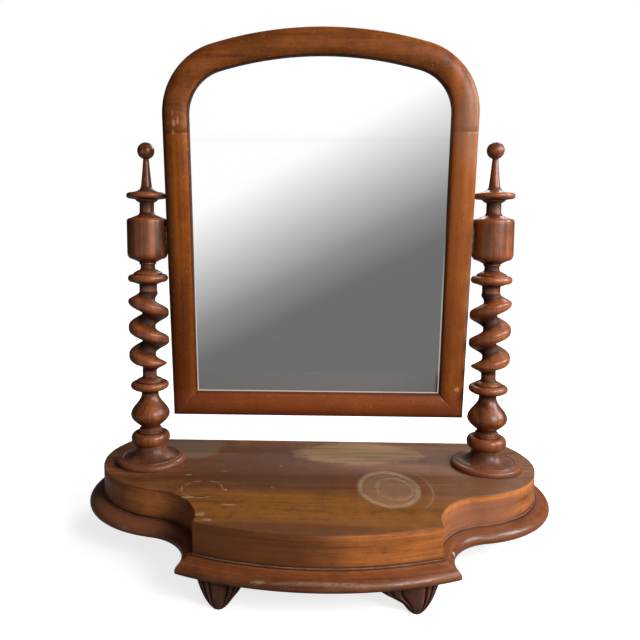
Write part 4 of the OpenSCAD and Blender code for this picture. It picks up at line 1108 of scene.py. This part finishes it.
# %% [markdown]
# ## Turned outlines
# A turner thinks in beads, hollows and quarter curves. Four small functions give these as points [radius,
# height], and a last one takes the knife edge off every corner, as sandpaper does on the lathe.

# %% Curves of a turner
QUARTER = math.pi / 2


def bead(r, out, z, h, n=20):
    turns = np.linspace(-QUARTER, QUARTER, n)
    return [(r + out * math.cos(a), z + h / 2 * math.sin(a)) for a in turns]


def rim(r, z, e, n=16):
    turns = np.linspace(math.radians(-75), math.radians(75), n)
    return [(r - e + e * math.cos(a), z + e * math.sin(a)) for a in turns]


def rise_out(r0, z0, r1, z1, n=10):
    turns = np.linspace(0, QUARTER, n)
    return [(r0 + (r1 - r0) * (1 - math.cos(a)), z0 + (z1 - z0) * math.sin(a)) for a in turns]


def out_rise(r0, z0, r1, z1, n=10):
    turns = np.linspace(0, QUARTER, n)
    return [(r0 + (r1 - r0) * math.sin(a), z0 + (z1 - z0) * (1 - math.cos(a))) for a in turns]


def sanded(line, size=0.45, limit=18.0):
    """The same line with every corner sharper than the limit cut back and rounded."""
    points = [np.array(p, float) for p in line]
    result = [points[0]]
    for a, b, c in zip(points, points[1:], points[2:]):
        before, after = a - b, c - b
        la, lc = np.linalg.norm(before), np.linalg.norm(after)
        if min(la, lc) < 1e-5:
            continue
        angle = math.degrees(math.acos(np.clip(-(before @ after) / la / lc, -1, 1)))
        if angle < limit:
            result.append(b)
            continue
        cut = min(size, 0.42 * la, 0.42 * lc)
        p, q = b + before / la * cut, b + after / lc * cut
        result += [(1 - t) ** 2 * p + 2 * t * (1 - t) * b + t * t * q for t in (0.0, 0.33, 0.67, 1.0)]
    result.append(points[-1])
    return [tuple(p) for p in result]


print("one sharp corner becomes", len(sanded([(0, 0), (5, 0), (5, 5)])), "points")

# %% Sizes of a post
BASE_H, CUSHION_H, STEP_H, VASE_H, COLLAR_T, LOW_NECK = 24.0, 18.0, 7.0, 48.0, 17.0, 10.0
TWIST_H, HIGH_NECK, RING_T, RING_NECK, DRUM_H = 108.0, 7.0, 20.0, 10.0, 63.0
FLANGE_NECK, FLANGE_T, SPIRE_H, BALL_R = 18.0, 16.0, 38.0, 11.0
CUSHION_R, VASE_R, COLLAR_R, RING_R, DRUM_R, FLANGE_R = 25.5, 25.5, 25.0, 26.0, 26.0, 26.0
NECK_R = 9.3
cushion_z = BASE_H
step_z = cushion_z + CUSHION_H
vase_z = step_z + STEP_H
collar_z = vase_z + VASE_H
low_neck_z = collar_z + COLLAR_T
twist_z = low_neck_z + LOW_NECK
high_neck_z = twist_z + TWIST_H
ring_z = high_neck_z + HIGH_NECK
ring_neck_z = ring_z + RING_T
drum_z = ring_neck_z + RING_NECK
drum_top = drum_z + DRUM_H
flange_z = drum_top + FLANGE_NECK
spire_z = flange_z + FLANGE_T
ball_z = spire_z + SPIRE_H + BALL_R - 1
print("a post stands", ball_z + BALL_R, "mm over the top board")

# %% The outline below the twist
SPIGOT_R, SPIGOT_H = 11.0, 35.5
SPIGOT_EASE = 1.0


def lower_outline():
    waist, vase_neck, vase_wide = NECK_R + 2.5, NECK_R + 2, vase_z + VASE_H * 0.345
    lower = [(0, -SPIGOT_H), (SPIGOT_R - SPIGOT_EASE, -SPIGOT_H), (SPIGOT_R, SPIGOT_EASE - SPIGOT_H),
             (SPIGOT_R, cushion_z), (CUSHION_R - 6.5, cushion_z)]
    lower += bead(CUSHION_R - 6, 6, cushion_z + CUSHION_H * 0.5, CUSHION_H * 0.88)
    lower += [(CUSHION_R - 9, step_z - CUSHION_H * 0.08), (CUSHION_R - 9, step_z + 1),
              (waist + 3, step_z + 1.5), (waist + 3, step_z + STEP_H * 0.6),
              (waist + 1, step_z + STEP_H * 0.75), (waist, vase_z)]
    lower += [(waist + 1 + (VASE_R - waist - 1) * math.sin(a),
               vase_z + 1 + (vase_wide - vase_z - 1) * a / QUARTER) for a in np.linspace(0.0, QUARTER, 19)]
    lower += [(vase_neck + (VASE_R - vase_neck) * (1 + math.cos(math.pi * u)) / 2,
               vase_wide + (collar_z - 4 - vase_wide) * u) for u in np.linspace(0.0, 1.0, 26)[1:]]
    lower += [(vase_neck, collar_z - 1), (NECK_R + 4, collar_z + COLLAR_T * 0.05),
              (COLLAR_R - 5, collar_z + COLLAR_T * 0.13)]
    lower += rim(COLLAR_R, collar_z + COLLAR_T * 0.47, COLLAR_T * 0.29)
    lower += [(COLLAR_R - 7.5, collar_z + COLLAR_T * 0.74), (COLLAR_R - 7.5, collar_z + COLLAR_T * 0.86),
              (COLLAR_R - 8.6, collar_z + COLLAR_T * 0.93), (NECK_R + 4.4, low_neck_z + 0.2)]
    lower += out_rise(NECK_R + 3.4, low_neck_z + 0.6, NECK_R, low_neck_z + 5)
    return sanded([*lower, (NECK_R, twist_z - 0.01)])


print("points below the twist:", len(lower_outline()))

# %% The outline above the twist
def drum_outline():
    """From the end of the twist to the foot of the drum, over the drum, and into the neck above it."""
    upper = [(NECK_R + 2.2, high_neck_z + 0.01), (NECK_R + 2.2, ring_z + RING_T * 0.06),
             (RING_R - 9, ring_z + RING_T * 0.17), (RING_R - 6, ring_z + RING_T * 0.22)]
    upper += rim(RING_R, ring_z + RING_T * 0.48, RING_T * 0.25)
    upper += [(RING_R - 7, ring_z + RING_T * 0.72), (RING_R - 7, ring_z + RING_T * 0.8),
              (RING_R - 8.4, ring_z + RING_T * 0.87), (NECK_R + 3.6, ring_neck_z)]
    upper += out_rise(NECK_R + 2.6, ring_neck_z + 0.4, NECK_R, ring_neck_z + 4)
    upper += [(NECK_R, drum_z - 2.6), (NECK_R + 1.6, drum_z - 2), (NECK_R + 1.6, drum_z - 0.6),
              (NECK_R + 1, drum_z), (DRUM_R - 10.5, drum_z + 3), (DRUM_R - 7.4, drum_z + 4.4)]
    upper += out_rise(DRUM_R - 6.4, drum_z + 4.8, DRUM_R, drum_z + 13)
    upper += [(DRUM_R, z) for z in np.linspace(drum_z + 17, drum_top - 13, 6)]
    upper += rise_out(DRUM_R, drum_top - 9, DRUM_R - 4.6, drum_top - 4.6)
    upper += [(DRUM_R - 5.6, drum_top - 4.2), (DRUM_R - 11, drum_top - 2)]
    return upper + out_rise(DRUM_R - 12, drum_top - 1.4, NECK_R, drum_top + 4.5)


def finial_outline():
    """The flange, the spire and the ball."""
    upper = [(NECK_R, flange_z - 2.6), (NECK_R + 3, flange_z - 1.2), (NECK_R + 4.6, flange_z),
             (NECK_R + 4.6, flange_z + 1.2), (FLANGE_R - 8, flange_z + FLANGE_T * 0.13)]
    upper += rim(FLANGE_R, flange_z + FLANGE_T * 0.4, FLANGE_T * 0.24)
    upper += [(NECK_R + 7, flange_z + FLANGE_T * 0.7), (NECK_R + 2.5, flange_z + FLANGE_T * 0.79),
              (NECK_R, flange_z + FLANGE_T * 0.88)]
    foot_r, tip_r = NECK_R - 2, NECK_R * 0.39
    upper += [(foot_r + (tip_r - foot_r) * u ** 0.85, spire_z + 1 + (SPIRE_H - 1) * u)
              for u in np.linspace(0.0, 1.0, 13)]
    low_a = math.asin(tip_r / BALL_R) - QUARTER
    upper += [(BALL_R * math.cos(a), ball_z + BALL_R * math.sin(a))
              for a in np.linspace(low_a, QUARTER, 26)[1:-1]]
    return [*upper, (0, ball_z + BALL_R)]


def post_outline():
    middle = [(NECK_R, z) for z in np.linspace(twist_z, high_neck_z, 157)[1:-1]]
    return lower_outline() + middle + sanded(drum_outline() + finial_outline())


print("points in a post's outline:", len(post_outline()))

# %% [markdown]
# ## From an outline to a turned piece
# The tree spins the outline, and the wear and painted shade are read off the outline too: it is resampled at
# even steps, its convexity is measured, and each point of the mesh takes the value of the nearest step. On
# the twist the distance from the axis says it more simply: the ridge is rubbed, and the groove is painted
# dark as shade.

# %% Spinning an outline into a piece
WEAR_STEP = 0.6
TWIST_MIDDLE_R, TWIST_SWING = 16.5, 8.0
TWIST_START = 126.0


def turned(name, outline, settings, place, material, body, slot, *nodes):
    settings = {"Material": material, **settings}
    bm = grow_tree(name, [(r, 0.0, z) for r, z in outline], turning_tree, settings)
    positions = np.array([v.co for v in bm.verts]) / MM
    distance = np.hypot(positions[:, 0], positions[:, 1])
    line = np.array(outline)
    run = run_lengths(line)
    even = np.arange(0.0, run[-1], WEAR_STEP)
    dense = np.stack([np.interp(even, run, line[:, 0]), np.interp(even, run, line[:, 1])], axis=1)
    dense_wear_and_shade = convexity(dense, 2.4)
    places = np.round(np.stack([distance, positions[:, 2]], axis=1), 2)
    unique, where = np.unique(places, axis=0, return_inverse=True)
    nearest = np.array([np.argmin(((dense - q) ** 2).sum(axis=1)) for q in unique])
    worn = dense_wear_and_shade[nearest][where.ravel()]
    if settings.get("Twist Length"):
        foot, length = settings["Twist Foot"] / MM, settings["Twist Length"] / MM
        inside = (positions[:, 2] > foot) & (positions[:, 2] < foot + length)
        # Painted shade: the groove of the twist is painted dark, and the ridge is rubbed paler.
        worn = np.where(inside, np.clip((distance - TWIST_MIDDLE_R) / TWIST_SWING, -0.85, 0.55), worn)
    grain = np.stack([positions[:, 2], positions[:, 0], positions[:, 1]], axis=1) * MM
    piece = finish_mesh(name, bm, 42.0)
    write_attributes(piece, grain + np.array(place)[[2, 0, 1]] * MM, worn)
    piece.data.transform(Matrix.Translation(Vector(place) * MM))
    dress(piece, material, body, slot, *nodes)
    return piece


twist_settings = {"Sides": 96, "Twist Foot": twist_z * MM, "Twist Length": TWIST_H * MM,
                  "Start Angle": math.radians(TWIST_START)}
for side, name in ((1, "right"), (-1, "left")):
    turned(f"twist_post_{name}", post_outline(), {**twist_settings, "Hand": float(side)},
           (side * POST_X, POST_Y, TOP_Z), turned_wood, "stand", "turned_wood", f"post_{name}")

# %% [markdown]
# ## The discs under the posts
# Each post stands on a turned disc: a rounded edge, a thin raised line, and a cove that sweeps up to the
# cushion. It is a separate turning with the spigot through its middle, made by the same tree without a twist.

# %% Discs and back feet
DISC_R, DISC_HOLE_R = 45.5, 11.05
BACK_FOOT_R, BACK_FOOT_PAD, PEG_R, PEG_H = 20.0, 6.0, 7.0, 10.0
BACK_FOOT_X, BACK_FOOT_Y = POST_X - 25.0, BACK - 38.0 + POST_Y


def disc_outline():
    hole, r, edge, line_z = DISC_HOLE_R, DISC_R, BASE_H * 0.14, BASE_H * 0.31
    line = [(hole, 0.0), (r - 0.8, 0.0), (r, 0.8)]
    line += [(r - 7 + 7 * math.cos(a), edge + (line_z - edge) * math.sin(a))
             for a in np.linspace(0, QUARTER, 14)]
    line += [(r - 7.3, line_z + 0.8), (r - 8.6, line_z + 0.8), (r - 9, line_z - 0.3)]
    line += out_rise(r - 10, line_z - 0.2, CUSHION_R - 7, BASE_H, 20)
    line += [(hole, BASE_H), (hole, 0.0)]
    return sanded(line, 0.5)


def back_foot_outline():
    r, pad, h = BACK_FOOT_R, BACK_FOOT_PAD, BOARD_Z
    line = [(0, 0), (pad, 0)]
    line += out_rise(pad, 0.0, r, h * 0.62, 18)[1:]
    line += [(r, h * 0.72), (r * 0.82, h * 0.8), (r * 0.82, h * 0.86), (r * 0.95, h * 0.9), (r * 0.95, h),
             (PEG_R, h), (PEG_R, h + PEG_H), (0, h + PEG_H)]
    return sanded(line, 0.6)


for side, name in ((1, "right"), (-1, "left")):
    turned(f"post_disc_{name}", disc_outline(), {"Sides": 128}, (side * POST_X, POST_Y, TOP_Z), shaded_disc_wood,
           "stand", "turned_wood", f"post_base_{name}")
    turned(f"back_foot_{name}", back_foot_outline(), {"Sides": 64}, (side * BACK_FOOT_X, BACK_FOOT_Y, 0.0),
           foot_wood, "stand", "foot_wood", f"foot_back_{name}")

# %% [markdown]
# ## The carved feet
# A carved foot swells from a small flat on the floor to the width of the board. Deep flutes part its front
# into rounded lobes, and on the inner side a wing sweeps out under the board. The rings are drawn at each
# height: how wide the foot is, how deep the flutes are cut, how far the wing has spread.

# %% Front feet
FOOT_HALF, FOOT_DEPTH, FLUTE = 26.0, 34.0, 3.2
FOOT_X, FOOT_SETBACK = 104.0, 9.0
WING_RIGHT, WING_LEFT = 46.0, 30.0
FLUTE_DIRT_AND_SHADE = 1.1


def foot_lobes(t):
    """Four lobes, from the middle out: each point's share of the width and of the flute's depth."""
    edge = [0.5 - 0.16 * t, 0.69 - 0.05 * t, 0.86 - 0.02 * t, 1.0]
    across = np.linspace(0.0, 1.0, 13)
    line = [(edge[0] * u, u ** 6) for u in across]
    for inner_edge, outer_edge in zip(edge, edge[1:]):
        line += [(inner_edge + (outer_edge - inner_edge) * u, abs(2 * u - 1) ** 3) for u in across[1:]]
    return line


def carved_foot(name, side, wing, *nodes):
    edge_corner, edge_mid, edge_r = bow_of(OVERHANG)
    front_y = edge_mid[1] - math.sqrt(edge_r ** 2 - FOOT_X ** 2) + FOOT_SETBACK
    rings, grain, worn = [], [], []
    for t in np.linspace(0.0, 1.0, 41):
        share = (0.02 + 0.98 * t) ** 0.45
        right = FOOT_HALF * share
        left = right + (wing - FOOT_HALF) * soft((t - 0.2) / 0.48)
        front = FOOT_DEPTH * 0.16 * (1 - t) ** 2
        rear = FOOT_DEPTH * (0.62 + 0.38 * t)
        lobes = foot_lobes(t)
        deep = FLUTE * min(1.0, 0.2 + 2.0 * t)
        near = [front + FOOT_DEPTH * 0.5 * share * (1 - math.sqrt(max(0.0, 1 - v[0] ** 2.6))) + deep * v[1]
                for v in lobes]
        # Painted shade: the flutes are made darker towards their bottoms.
        front_line = [(across, y, -FLUTE_DIRT_AND_SHADE * cut ** 2) for (across, cut), y in zip(lobes, near)]
        line = [(-left * across, y, w) for across, y, w in reversed(front_line[1:])]
        line += [(right * across, y, w) for across, y, w in front_line]
        line += [(right, rear, -0.4), (-left, rear, -0.4)]
        rings.append([(side * (FOOT_X + x), front_y + y + POST_Y, t * BOARD_Z) for x, y, w in line])
        grain += [(t * BOARD_Z, x, y) for x, y, w in line]
        worn += [w + 0.35 for x, y, w in line]
    foot = skin(name, rings, grain, worn, smooth_angle=60.0)
    dress(foot, foot_wood, "stand", "foot_wood", *nodes)


carved_foot("carved_foot_right", 1, WING_RIGHT, "foot_front_right")
carved_foot("carved_foot_left", -1, WING_LEFT, "foot_front_left")

# %% [markdown]
# ## Screws and pins
# What repeats is instanced. One tree builds a slotted countersunk screw from a cone, a shank and a cut, and
# sets it on every point of a cloud, turned to a direction that the point carries. A second tree drives the
# small round-headed pins of the backboard. Both end in the same few nodes, so one helper adds them.

# %% Helpers for both trees
def lifted(g, geometry, height):
    shift = g.node("ShaderNodeCombineXYZ", {}, {"Z": height})
    return g.node("GeometryNodeTransform", {}, {"Geometry": geometry, "Translation": shift})


def set_on_points(g, inp, *parts):
    """Joins the parts, sets them on every point, and turns them to the point's own aim."""
    joined = g.nodes.new("GeometryNodeJoinGeometry")
    for part in parts:
        g.links.new(part.socket, joined.inputs[0])
    aim = g.node("GeometryNodeInputNamedAttribute", {"data_type": "FLOAT_VECTOR"}, {"Name": "aim"})
    turned_to = g.node("FunctionNodeAlignRotationToVector", {"axis": "Z"}, {"Vector": aim})
    values = {"Points": inp["Geometry"], "Instance": Wire(g, joined.outputs[0]), "Rotation": turned_to}
    close_tree(g, g.node("GeometryNodeInstanceOnPoints", {}, values), inp["Material"])


print("both trees end in", set_on_points.__name__)

# %% The screw tree
screw_inputs = [("Diameter", "NodeSocketFloat", 0.004), ("Length", "NodeSocketFloat", 0.03),
                ("Material", "NodeSocketMaterial", None)]
g, inp, screw_tree = new_tree("slotted_screws", screw_inputs)
d, length = inp["Diameter"], inp["Length"]
head_cone = g.node("GeometryNodeMeshCone", {}, {"Vertices": 32, "Radius Top": d * 0.5,
                                                "Radius Bottom": d * 1.0, "Depth": d * 0.6})
slot_size = g.node("ShaderNodeCombineXYZ", {}, {"X": d * 3.0, "Y": d * 0.24, "Z": d * 0.5})
slot_cut = g.node("GeometryNodeMeshCube", {}, {"Size": slot_size})
slotted = g.node("GeometryNodeMeshBoolean", {"operation": "DIFFERENCE"}, {0: head_cone, 1: slot_cut})
shank_length = length - d * 1.6
shank = g.node("GeometryNodeMeshCylinder", {}, {"Vertices": 20, "Radius": d * 0.5, "Depth": shank_length})
point = g.node("GeometryNodeMeshCone", {}, {"Vertices": 20, "Radius Top": 0.0, "Radius Bottom": d * 0.5,
                                            "Depth": d})
shank_place = d * 0.6 + shank_length * 0.5
set_on_points(g, inp, slotted, lifted(g, shank, shank_place), lifted(g, point, length - d * 0.5))
print("screw tree nodes:", len(screw_tree.nodes))

# %% The pin tree
pin_inputs = [("Diameter", "NodeSocketFloat", 0.0014), ("Length", "NodeSocketFloat", 0.011),
              ("Material", "NodeSocketMaterial", None)]
g, inp, pin_tree = new_tree("round_pins", pin_inputs)
d, length = inp["Diameter"], inp["Length"]
ball = g.node("GeometryNodeMeshUVSphere", {}, {"Segments": 20, "Rings": 12, "Radius": d * 1.2})
flat = g.node("GeometryNodeTransform", {}, {"Geometry": ball, "Scale": (1.0, 1.0, 0.4)})
nail = g.node("GeometryNodeMeshCylinder", {}, {"Vertices": 12, "Radius": d * 0.5, "Depth": length})
set_on_points(g, inp, flat, lifted(g, nail, length * 0.5))
print("pin tree nodes:", len(pin_tree.nodes))

# %% Setting the hardware
def hardware(name, tree, places, aims, diameter, length, body, slot, node):
    settings = {"Diameter": diameter * MM, "Length": length * MM, "Material": steel}
    bm = grow_tree(name, places, tree, settings, {"aim": aims})
    piece = finish_mesh(name, bm, 30.0)
    dress(piece, steel, body, slot, node)


def hung(x, up, out):
    """A place on the leaning frame, in mm of the whole object."""
    return tuple(np.array(hang @ (Vector((x, up, out)) * MM)) / MM)


print("the middle of the leaning frame:", [round(c, 1) for c in hung(0.0, 0.0, 0.0)], "mm")

# %% Screws under the base
BLOCK, BLOCK_GAP = 18.0, 0.3
BLOCK_SCREW, BLOCK_SCREW_LENGTH = 4.0, 34.0
SPIGOT_SCREW, SPIGOT_SCREW_LENGTH = 5.0, 42.0
UP = (0, 0, 1)
screw_x = CORNER[0] * 0.45
front_y = bow_c[1] - math.sqrt((bow_r - WALL) ** 2 - (screw_x + BLOCK / 2) ** 2) + BLOCK / 2 + BLOCK_GAP
lobe_reach = math.sqrt((LOBE_R - WALL) ** 2 - (BLOCK / 2) ** 2) - BLOCK / 2 - BLOCK_GAP
lobe_turn = math.radians(-46.0)
lobe_spot = lobe_c + lobe_reach * np.array([math.cos(lobe_turn), math.sin(lobe_turn)])
under = [(screw_x, front_y), (screw_x, BACK - WALL - BLOCK / 2), tuple(lobe_spot)]
under = [(s * x, y + POST_Y, BOARD_Z) for s in (1, -1) for x, y in under]
under_posts = [(s * POST_X, POST_Y, BOARD_Z) for s in (1, -1)]
hardware("block_screws", screw_tree, under, [UP] * 6, BLOCK_SCREW, BLOCK_SCREW_LENGTH, "stand",
         "steel", "base_screws")
hardware("spigot_screws", screw_tree, under_posts, [UP] * 2, SPIGOT_SCREW, SPIGOT_SCREW_LENGTH, "stand",
         "steel", "post_screws")

# %% Screws in the swivel plates
PLATE_T, PLATE_LENGTH, SWIVEL_SCREW, SWIVEL_SCREW_LENGTH = 1.6, 34.0, 2.8, 13.0
screw_up = PLATE_LENGTH / 2 - SWIVEL_SCREW * 1.5
outwards = [(s, 0, 0) for s in (1, 1, -1, -1)]
towards = [(-s, 0, 0) for s in (1, 1, -1, -1)]
in_drum = [(s * (POST_X - DRUM_R), POST_Y, PIVOT_Z + t * screw_up) for s in (1, -1) for t in (1, -1)]
in_stile = [hung(s * (FRAME_HALF + PLATE_T), t * screw_up, 0.0) for s in (1, -1) for t in (1, -1)]
hardware("drum_plate_screws", screw_tree, in_drum, outwards, SWIVEL_SCREW, SWIVEL_SCREW_LENGTH, "stand",
         "steel", "post_swivel_screws")
hardware("stile_plate_screws", screw_tree, in_stile, towards, SWIVEL_SCREW, SWIVEL_SCREW_LENGTH, "mirror",
         "steel", "frame_swivel_screws")

# %% Pins round the backboard
BACKBOARD_T = 4.0
PIN, PIN_LENGTH, PIN_IN = 1.4, 11.0, 3.5


def rim_places(within):
    """Places round the backboard, at a distance within the frame's outline."""
    half, foot = FRAME_HALF - within, within - FRAME_BELOW
    places = [(s * half, foot + u * (JOINT_UP - foot)) for s in (-1, 1) for u in (0.12, 0.5, 0.88)]
    places += [(u * half, foot) for u in (-0.55, 0.0, 0.55)]
    bend, bend_r = math.radians(42.0), SHOULDER_R - within
    places += [(s * (shoulder[0] + bend_r * math.cos(bend)), SPRING_UP + bend_r * math.sin(bend))
               for s in (-1, 1)]
    crown_r = CROWN_R - within
    places += [(crown_r * math.sin(a * crown_a), crown_y + crown_r * math.cos(a * crown_a))
               for a in (-0.75, 0.0, 0.75)]
    return places


pin_places = [hung(x, up, back - BACKBOARD_T) for x, up in rim_places(REBATE_IN - PIN_IN)]
inwards = hang.to_3x3() @ Vector((0, 0, 1))
hardware("backboard_pins_fine", pin_tree, pin_places, [tuple(inwards)] * len(pin_places), PIN, PIN_LENGTH,
         "mirror", "steel", "backboard_pins")

# %% [markdown]
# ## Keys across the mitres
# A thin slip of wood is glued into a saw cut across each lower corner, to hold the mitre. Planed flush, it
# swells a little over the years and stands proud by less than a tenth of a millimetre. That also keeps its
# faces out of the frame's own, where two skins in one plane would flicker.

# %% Two keys
KEY_T, KEY_W, KEY_PROUD = 3.0, 20.0, 0.06
KEY_DEPTH = EDGE * (0.42 - 0.5)
KEY_DIRT = -0.3


def key_layer(bm, side, depth):
    """One face of a key: a triangle in the corner of the frame. Returns its points and their grain."""
    outer, lowest = FRAME_HALF + KEY_PROUD, -FRAME_BELOW - KEY_PROUD
    corners = [(outer, lowest), (outer, KEY_W - FRAME_BELOW), (FRAME_HALF - KEY_W, lowest)]
    layer = [bm.verts.new(hang @ (Vector((side * x, up, depth)) * MM)) for x, up in corners]
    return layer, [((x + up) * 0.7, (x - up) * 0.7, depth) for x, up in corners]


bm = bmesh.new()
grain = []
for side in (1, -1):
    rear, rear_grain = key_layer(bm, side, KEY_DEPTH - KEY_T / 2)
    front, front_grain = key_layer(bm, side, KEY_DEPTH + KEY_T / 2)
    grain += rear_grain + front_grain
    for i in range(3):
        j = (i + 1) % 3
        bm.faces.new((rear[i], rear[j], front[j], front[i]))
    bm.faces.new(rear)
    bm.faces.new(front)
keys = finish_mesh("corner_keys_fine", bm, 30.0)
write_attributes(keys, np.array(grain) * MM, np.full(len(grain), KEY_DIRT))
dress(keys, frame_wood, "mirror", "frame_wood", "corner_keys")

# %% [markdown]
# ## The CAD pieces that stay
# Flat boards, blocks, plates and the glass are right as they are. They only get their finish, by way of
# their material slots.

# %% Finishes of the CAD nodes
finishes = {"base_board": inner_board, "plinth_back": pine, "post_blocks": pine, "glue_blocks": pine,
            "post_swivel_left": brass, "post_swivel_right": brass, "frame_swivel_left": brass,
            "frame_swivel_right": brass, "frame_dowels": pine, "mirror_glass": mirror_finish,
            "glass_blocks": pine, "backboard": pine}
for node, material in finishes.items():
    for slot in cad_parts[node].material_slots:
        slot.material = material
print("CAD nodes dressed:", len(finishes))

# %% [markdown]
# ## Studio
# A pale floor, and three soft lamps: two from the right and the front, and one from behind that draws the
# rims. Seen directly, the surroundings are white. Seen by the polish, they are bright in front and dim
# behind, so that each turning has a light side and a dark one. The kind of ray decides this, in the materials
# of the floor and the world.

# %% Floor
WHITE = (1.0, 1.0, 1.0, 1.0)
FLOOR_REACH = 6.0
PAPER, BOUNCED = 0.6, 0.12
GLOW_NEAR, GLOW_GAIN, GLOW_STEP = 0.78, 0.3, (0.3, 0.8)


def grey(level):
    return (level, level, level, 1.0)


def studio_floor():
    bm = bmesh.new()
    bmesh.ops.create_grid(bm, x_segments=8, y_segments=8, size=FLOOR_REACH)
    mesh = bpy.data.meshes.new("studio_floor")
    bm.to_mesh(mesh)
    bm.free()
    floor = bpy.data.objects.new("studio_floor", mesh)
    bpy.context.collection.objects.link(floor)
    material, g = new_material("white_paper")
    rays = g.node("ShaderNodeLightPath")
    glossy = Wire(g, rays.socket.node.outputs["Is Glossy Ray"])
    x, y, z = g.axes(g.node("ShaderNodeTexCoord", out=3))
    plain = g.node("ShaderNodeBsdfDiffuse", {}, {"Color": grey(BOUNCED)})
    shaded = g.node("ShaderNodeBsdfDiffuse", {}, {"Color": grey(PAPER)})
    away = (x * x + y * y) ** 0.5
    whiter = GLOW_NEAR + GLOW_GAIN * away.smooth(*GLOW_STEP)
    glow = g.node("ShaderNodeEmission", {}, {"Color": WHITE, "Strength": whiter})
    far = NEAR_FLOOR + (1.0 - NEAR_FLOOR) * (0.0 - y).smooth(DIM_WITHIN, BRIGHT_BEYOND)
    reflected = g.node("ShaderNodeEmission", {}, {"Color": WHITE, "Strength": far})
    seen = g.node("ShaderNodeAddShader", {}, {0: shaded, 1: glow})
    other = g.node("ShaderNodeMixShader", {}, {0: glossy, 1: plain, 2: reflected})
    close_material(g, g.node("ShaderNodeMixShader", {}, {0: rays, 1: other, 2: seen}))
    mesh.materials.append(material)
    print(floor.name, "shines with", material.name)


studio_floor()

# %% Surroundings
KEY_RIGHT, KEY_FRONT = 0.74, 0.67
DIM, KEY_GAIN, OVERHEAD_GAIN, HORIZON_GAIN = 0.02, 0.06, 0.08, 0.95
world = bpy.data.worlds.new("studio")
bpy.context.scene.world = world
world.use_nodes = True
world.node_tree.nodes.clear()
g = Graph(world.node_tree)
direction = g.node("ShaderNodeTexCoord", out=0)
dx, dy, dz = g.axes(direction)
key_side = (dx * KEY_RIGHT - dy * KEY_FRONT).smooth(0.1, 1.0)
overhead = dz.smooth(0.2, 0.95)
level = DIM + key_side * KEY_GAIN + overhead * OVERHEAD_GAIN
rays = g.node("ShaderNodeLightPath")
glossy = Wire(g, rays.socket.node.outputs["Is Glossy Ray"])
horizon = (1.0 - dz.maths("ABSOLUTE").smooth(0.07, 0.14)) * (0.0 - dy).smooth(0.3, 0.8)
around_level = level + glossy * horizon * HORIZON_GAIN
soft_light = g.node("ShaderNodeBackground", {}, {"Color": WHITE, "Strength": around_level})
white = g.node("ShaderNodeBackground", {}, {"Color": WHITE, "Strength": 1.0})
both = g.node("ShaderNodeMixShader", {}, {0: rays, 1: soft_light, 2: white})
output = g.nodes.new("ShaderNodeOutputWorld")
g.links.new(both.socket, output.inputs["Surface"])
print("world nodes:", len(g.nodes))

# %% Lamps
LOW_MIDDLE = (0.0, 0.0, 0.25)


def softbox(name, place, aim_at, size, power):
    light = bpy.data.lights.new(name, "AREA")
    light.shape = "RECTANGLE"
    light.size, light.size_y = size
    light.energy = power
    lamp = bpy.data.objects.new(name, light)
    bpy.context.collection.objects.link(lamp)
    lamp.location = place
    lamp.rotation_euler = (Vector(aim_at) - Vector(place)).to_track_quat("-Z", "Y").to_euler()
    print(name, power, "watts")


softbox("window_right", place=(1.3, -0.2, 0.9), aim_at=LOW_MIDDLE, size=(0.5, 0.7), power=17.0)
softbox("window_front", place=(0.75, -0.87, 0.8), aim_at=LOW_MIDDLE, size=(0.45, 0.6), power=13.0)
softbox("back_rim", place=(0.5, 1.2, 1.3), aim_at=(0.0, 0.05, 0.2), size=(0.9, 0.5), power=11.0)

# %% [markdown]
# ## Camera
# The photograph was taken from close by, a little above the middle and looking slightly down, and then cut
# out of a larger picture. A small shift stands for that cut. The place was given with the glass, which needs
# it too. Three small turns set the view, and three axes make the matrix, so that no turn hides another.

# %% Camera
PIXELS = 640
SENSOR = 36.0
FOCAL_PX = 626.56
CENTRE_PX = (293.22, 291.40)
yaw, pitch, roll = math.radians(1.97), math.radians(5.28), math.radians(0.19)
forward = Vector((-math.sin(yaw) * math.cos(pitch), math.cos(yaw) * math.cos(pitch), -math.sin(pitch)))
level_right = Vector((math.cos(yaw), math.sin(yaw), 0.0))
level_up = level_right.cross(forward)
right_axis = math.cos(roll) * level_right + math.sin(roll) * level_up
up_axis = -math.sin(roll) * level_right + math.cos(roll) * level_up
camera_data = bpy.data.cameras.new("camera")
camera = bpy.data.objects.new("camera", camera_data)
bpy.context.collection.objects.link(camera)
turn_matrix = Matrix((right_axis, up_axis, -forward)).transposed().to_4x4()
camera.matrix_world = Matrix.Translation(CAMERA_PLACE) @ turn_matrix
camera_data.sensor_width = SENSOR
camera_data.lens = FOCAL_PX / PIXELS * SENSOR
camera_data.shift_x = (PIXELS / 2 - CENTRE_PX[0]) / PIXELS
camera_data.shift_y = (CENTRE_PX[1] - PIXELS / 2) / PIXELS
camera_data.clip_start = 0.01
bpy.context.scene.camera = camera
bpy.context.scene.view_settings.view_transform = "Standard"
print("lens", round(camera_data.lens, 2), "mm")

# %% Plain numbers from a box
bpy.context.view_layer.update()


def plain(box):
    return [[float(c) for c in corner] for corner in box]
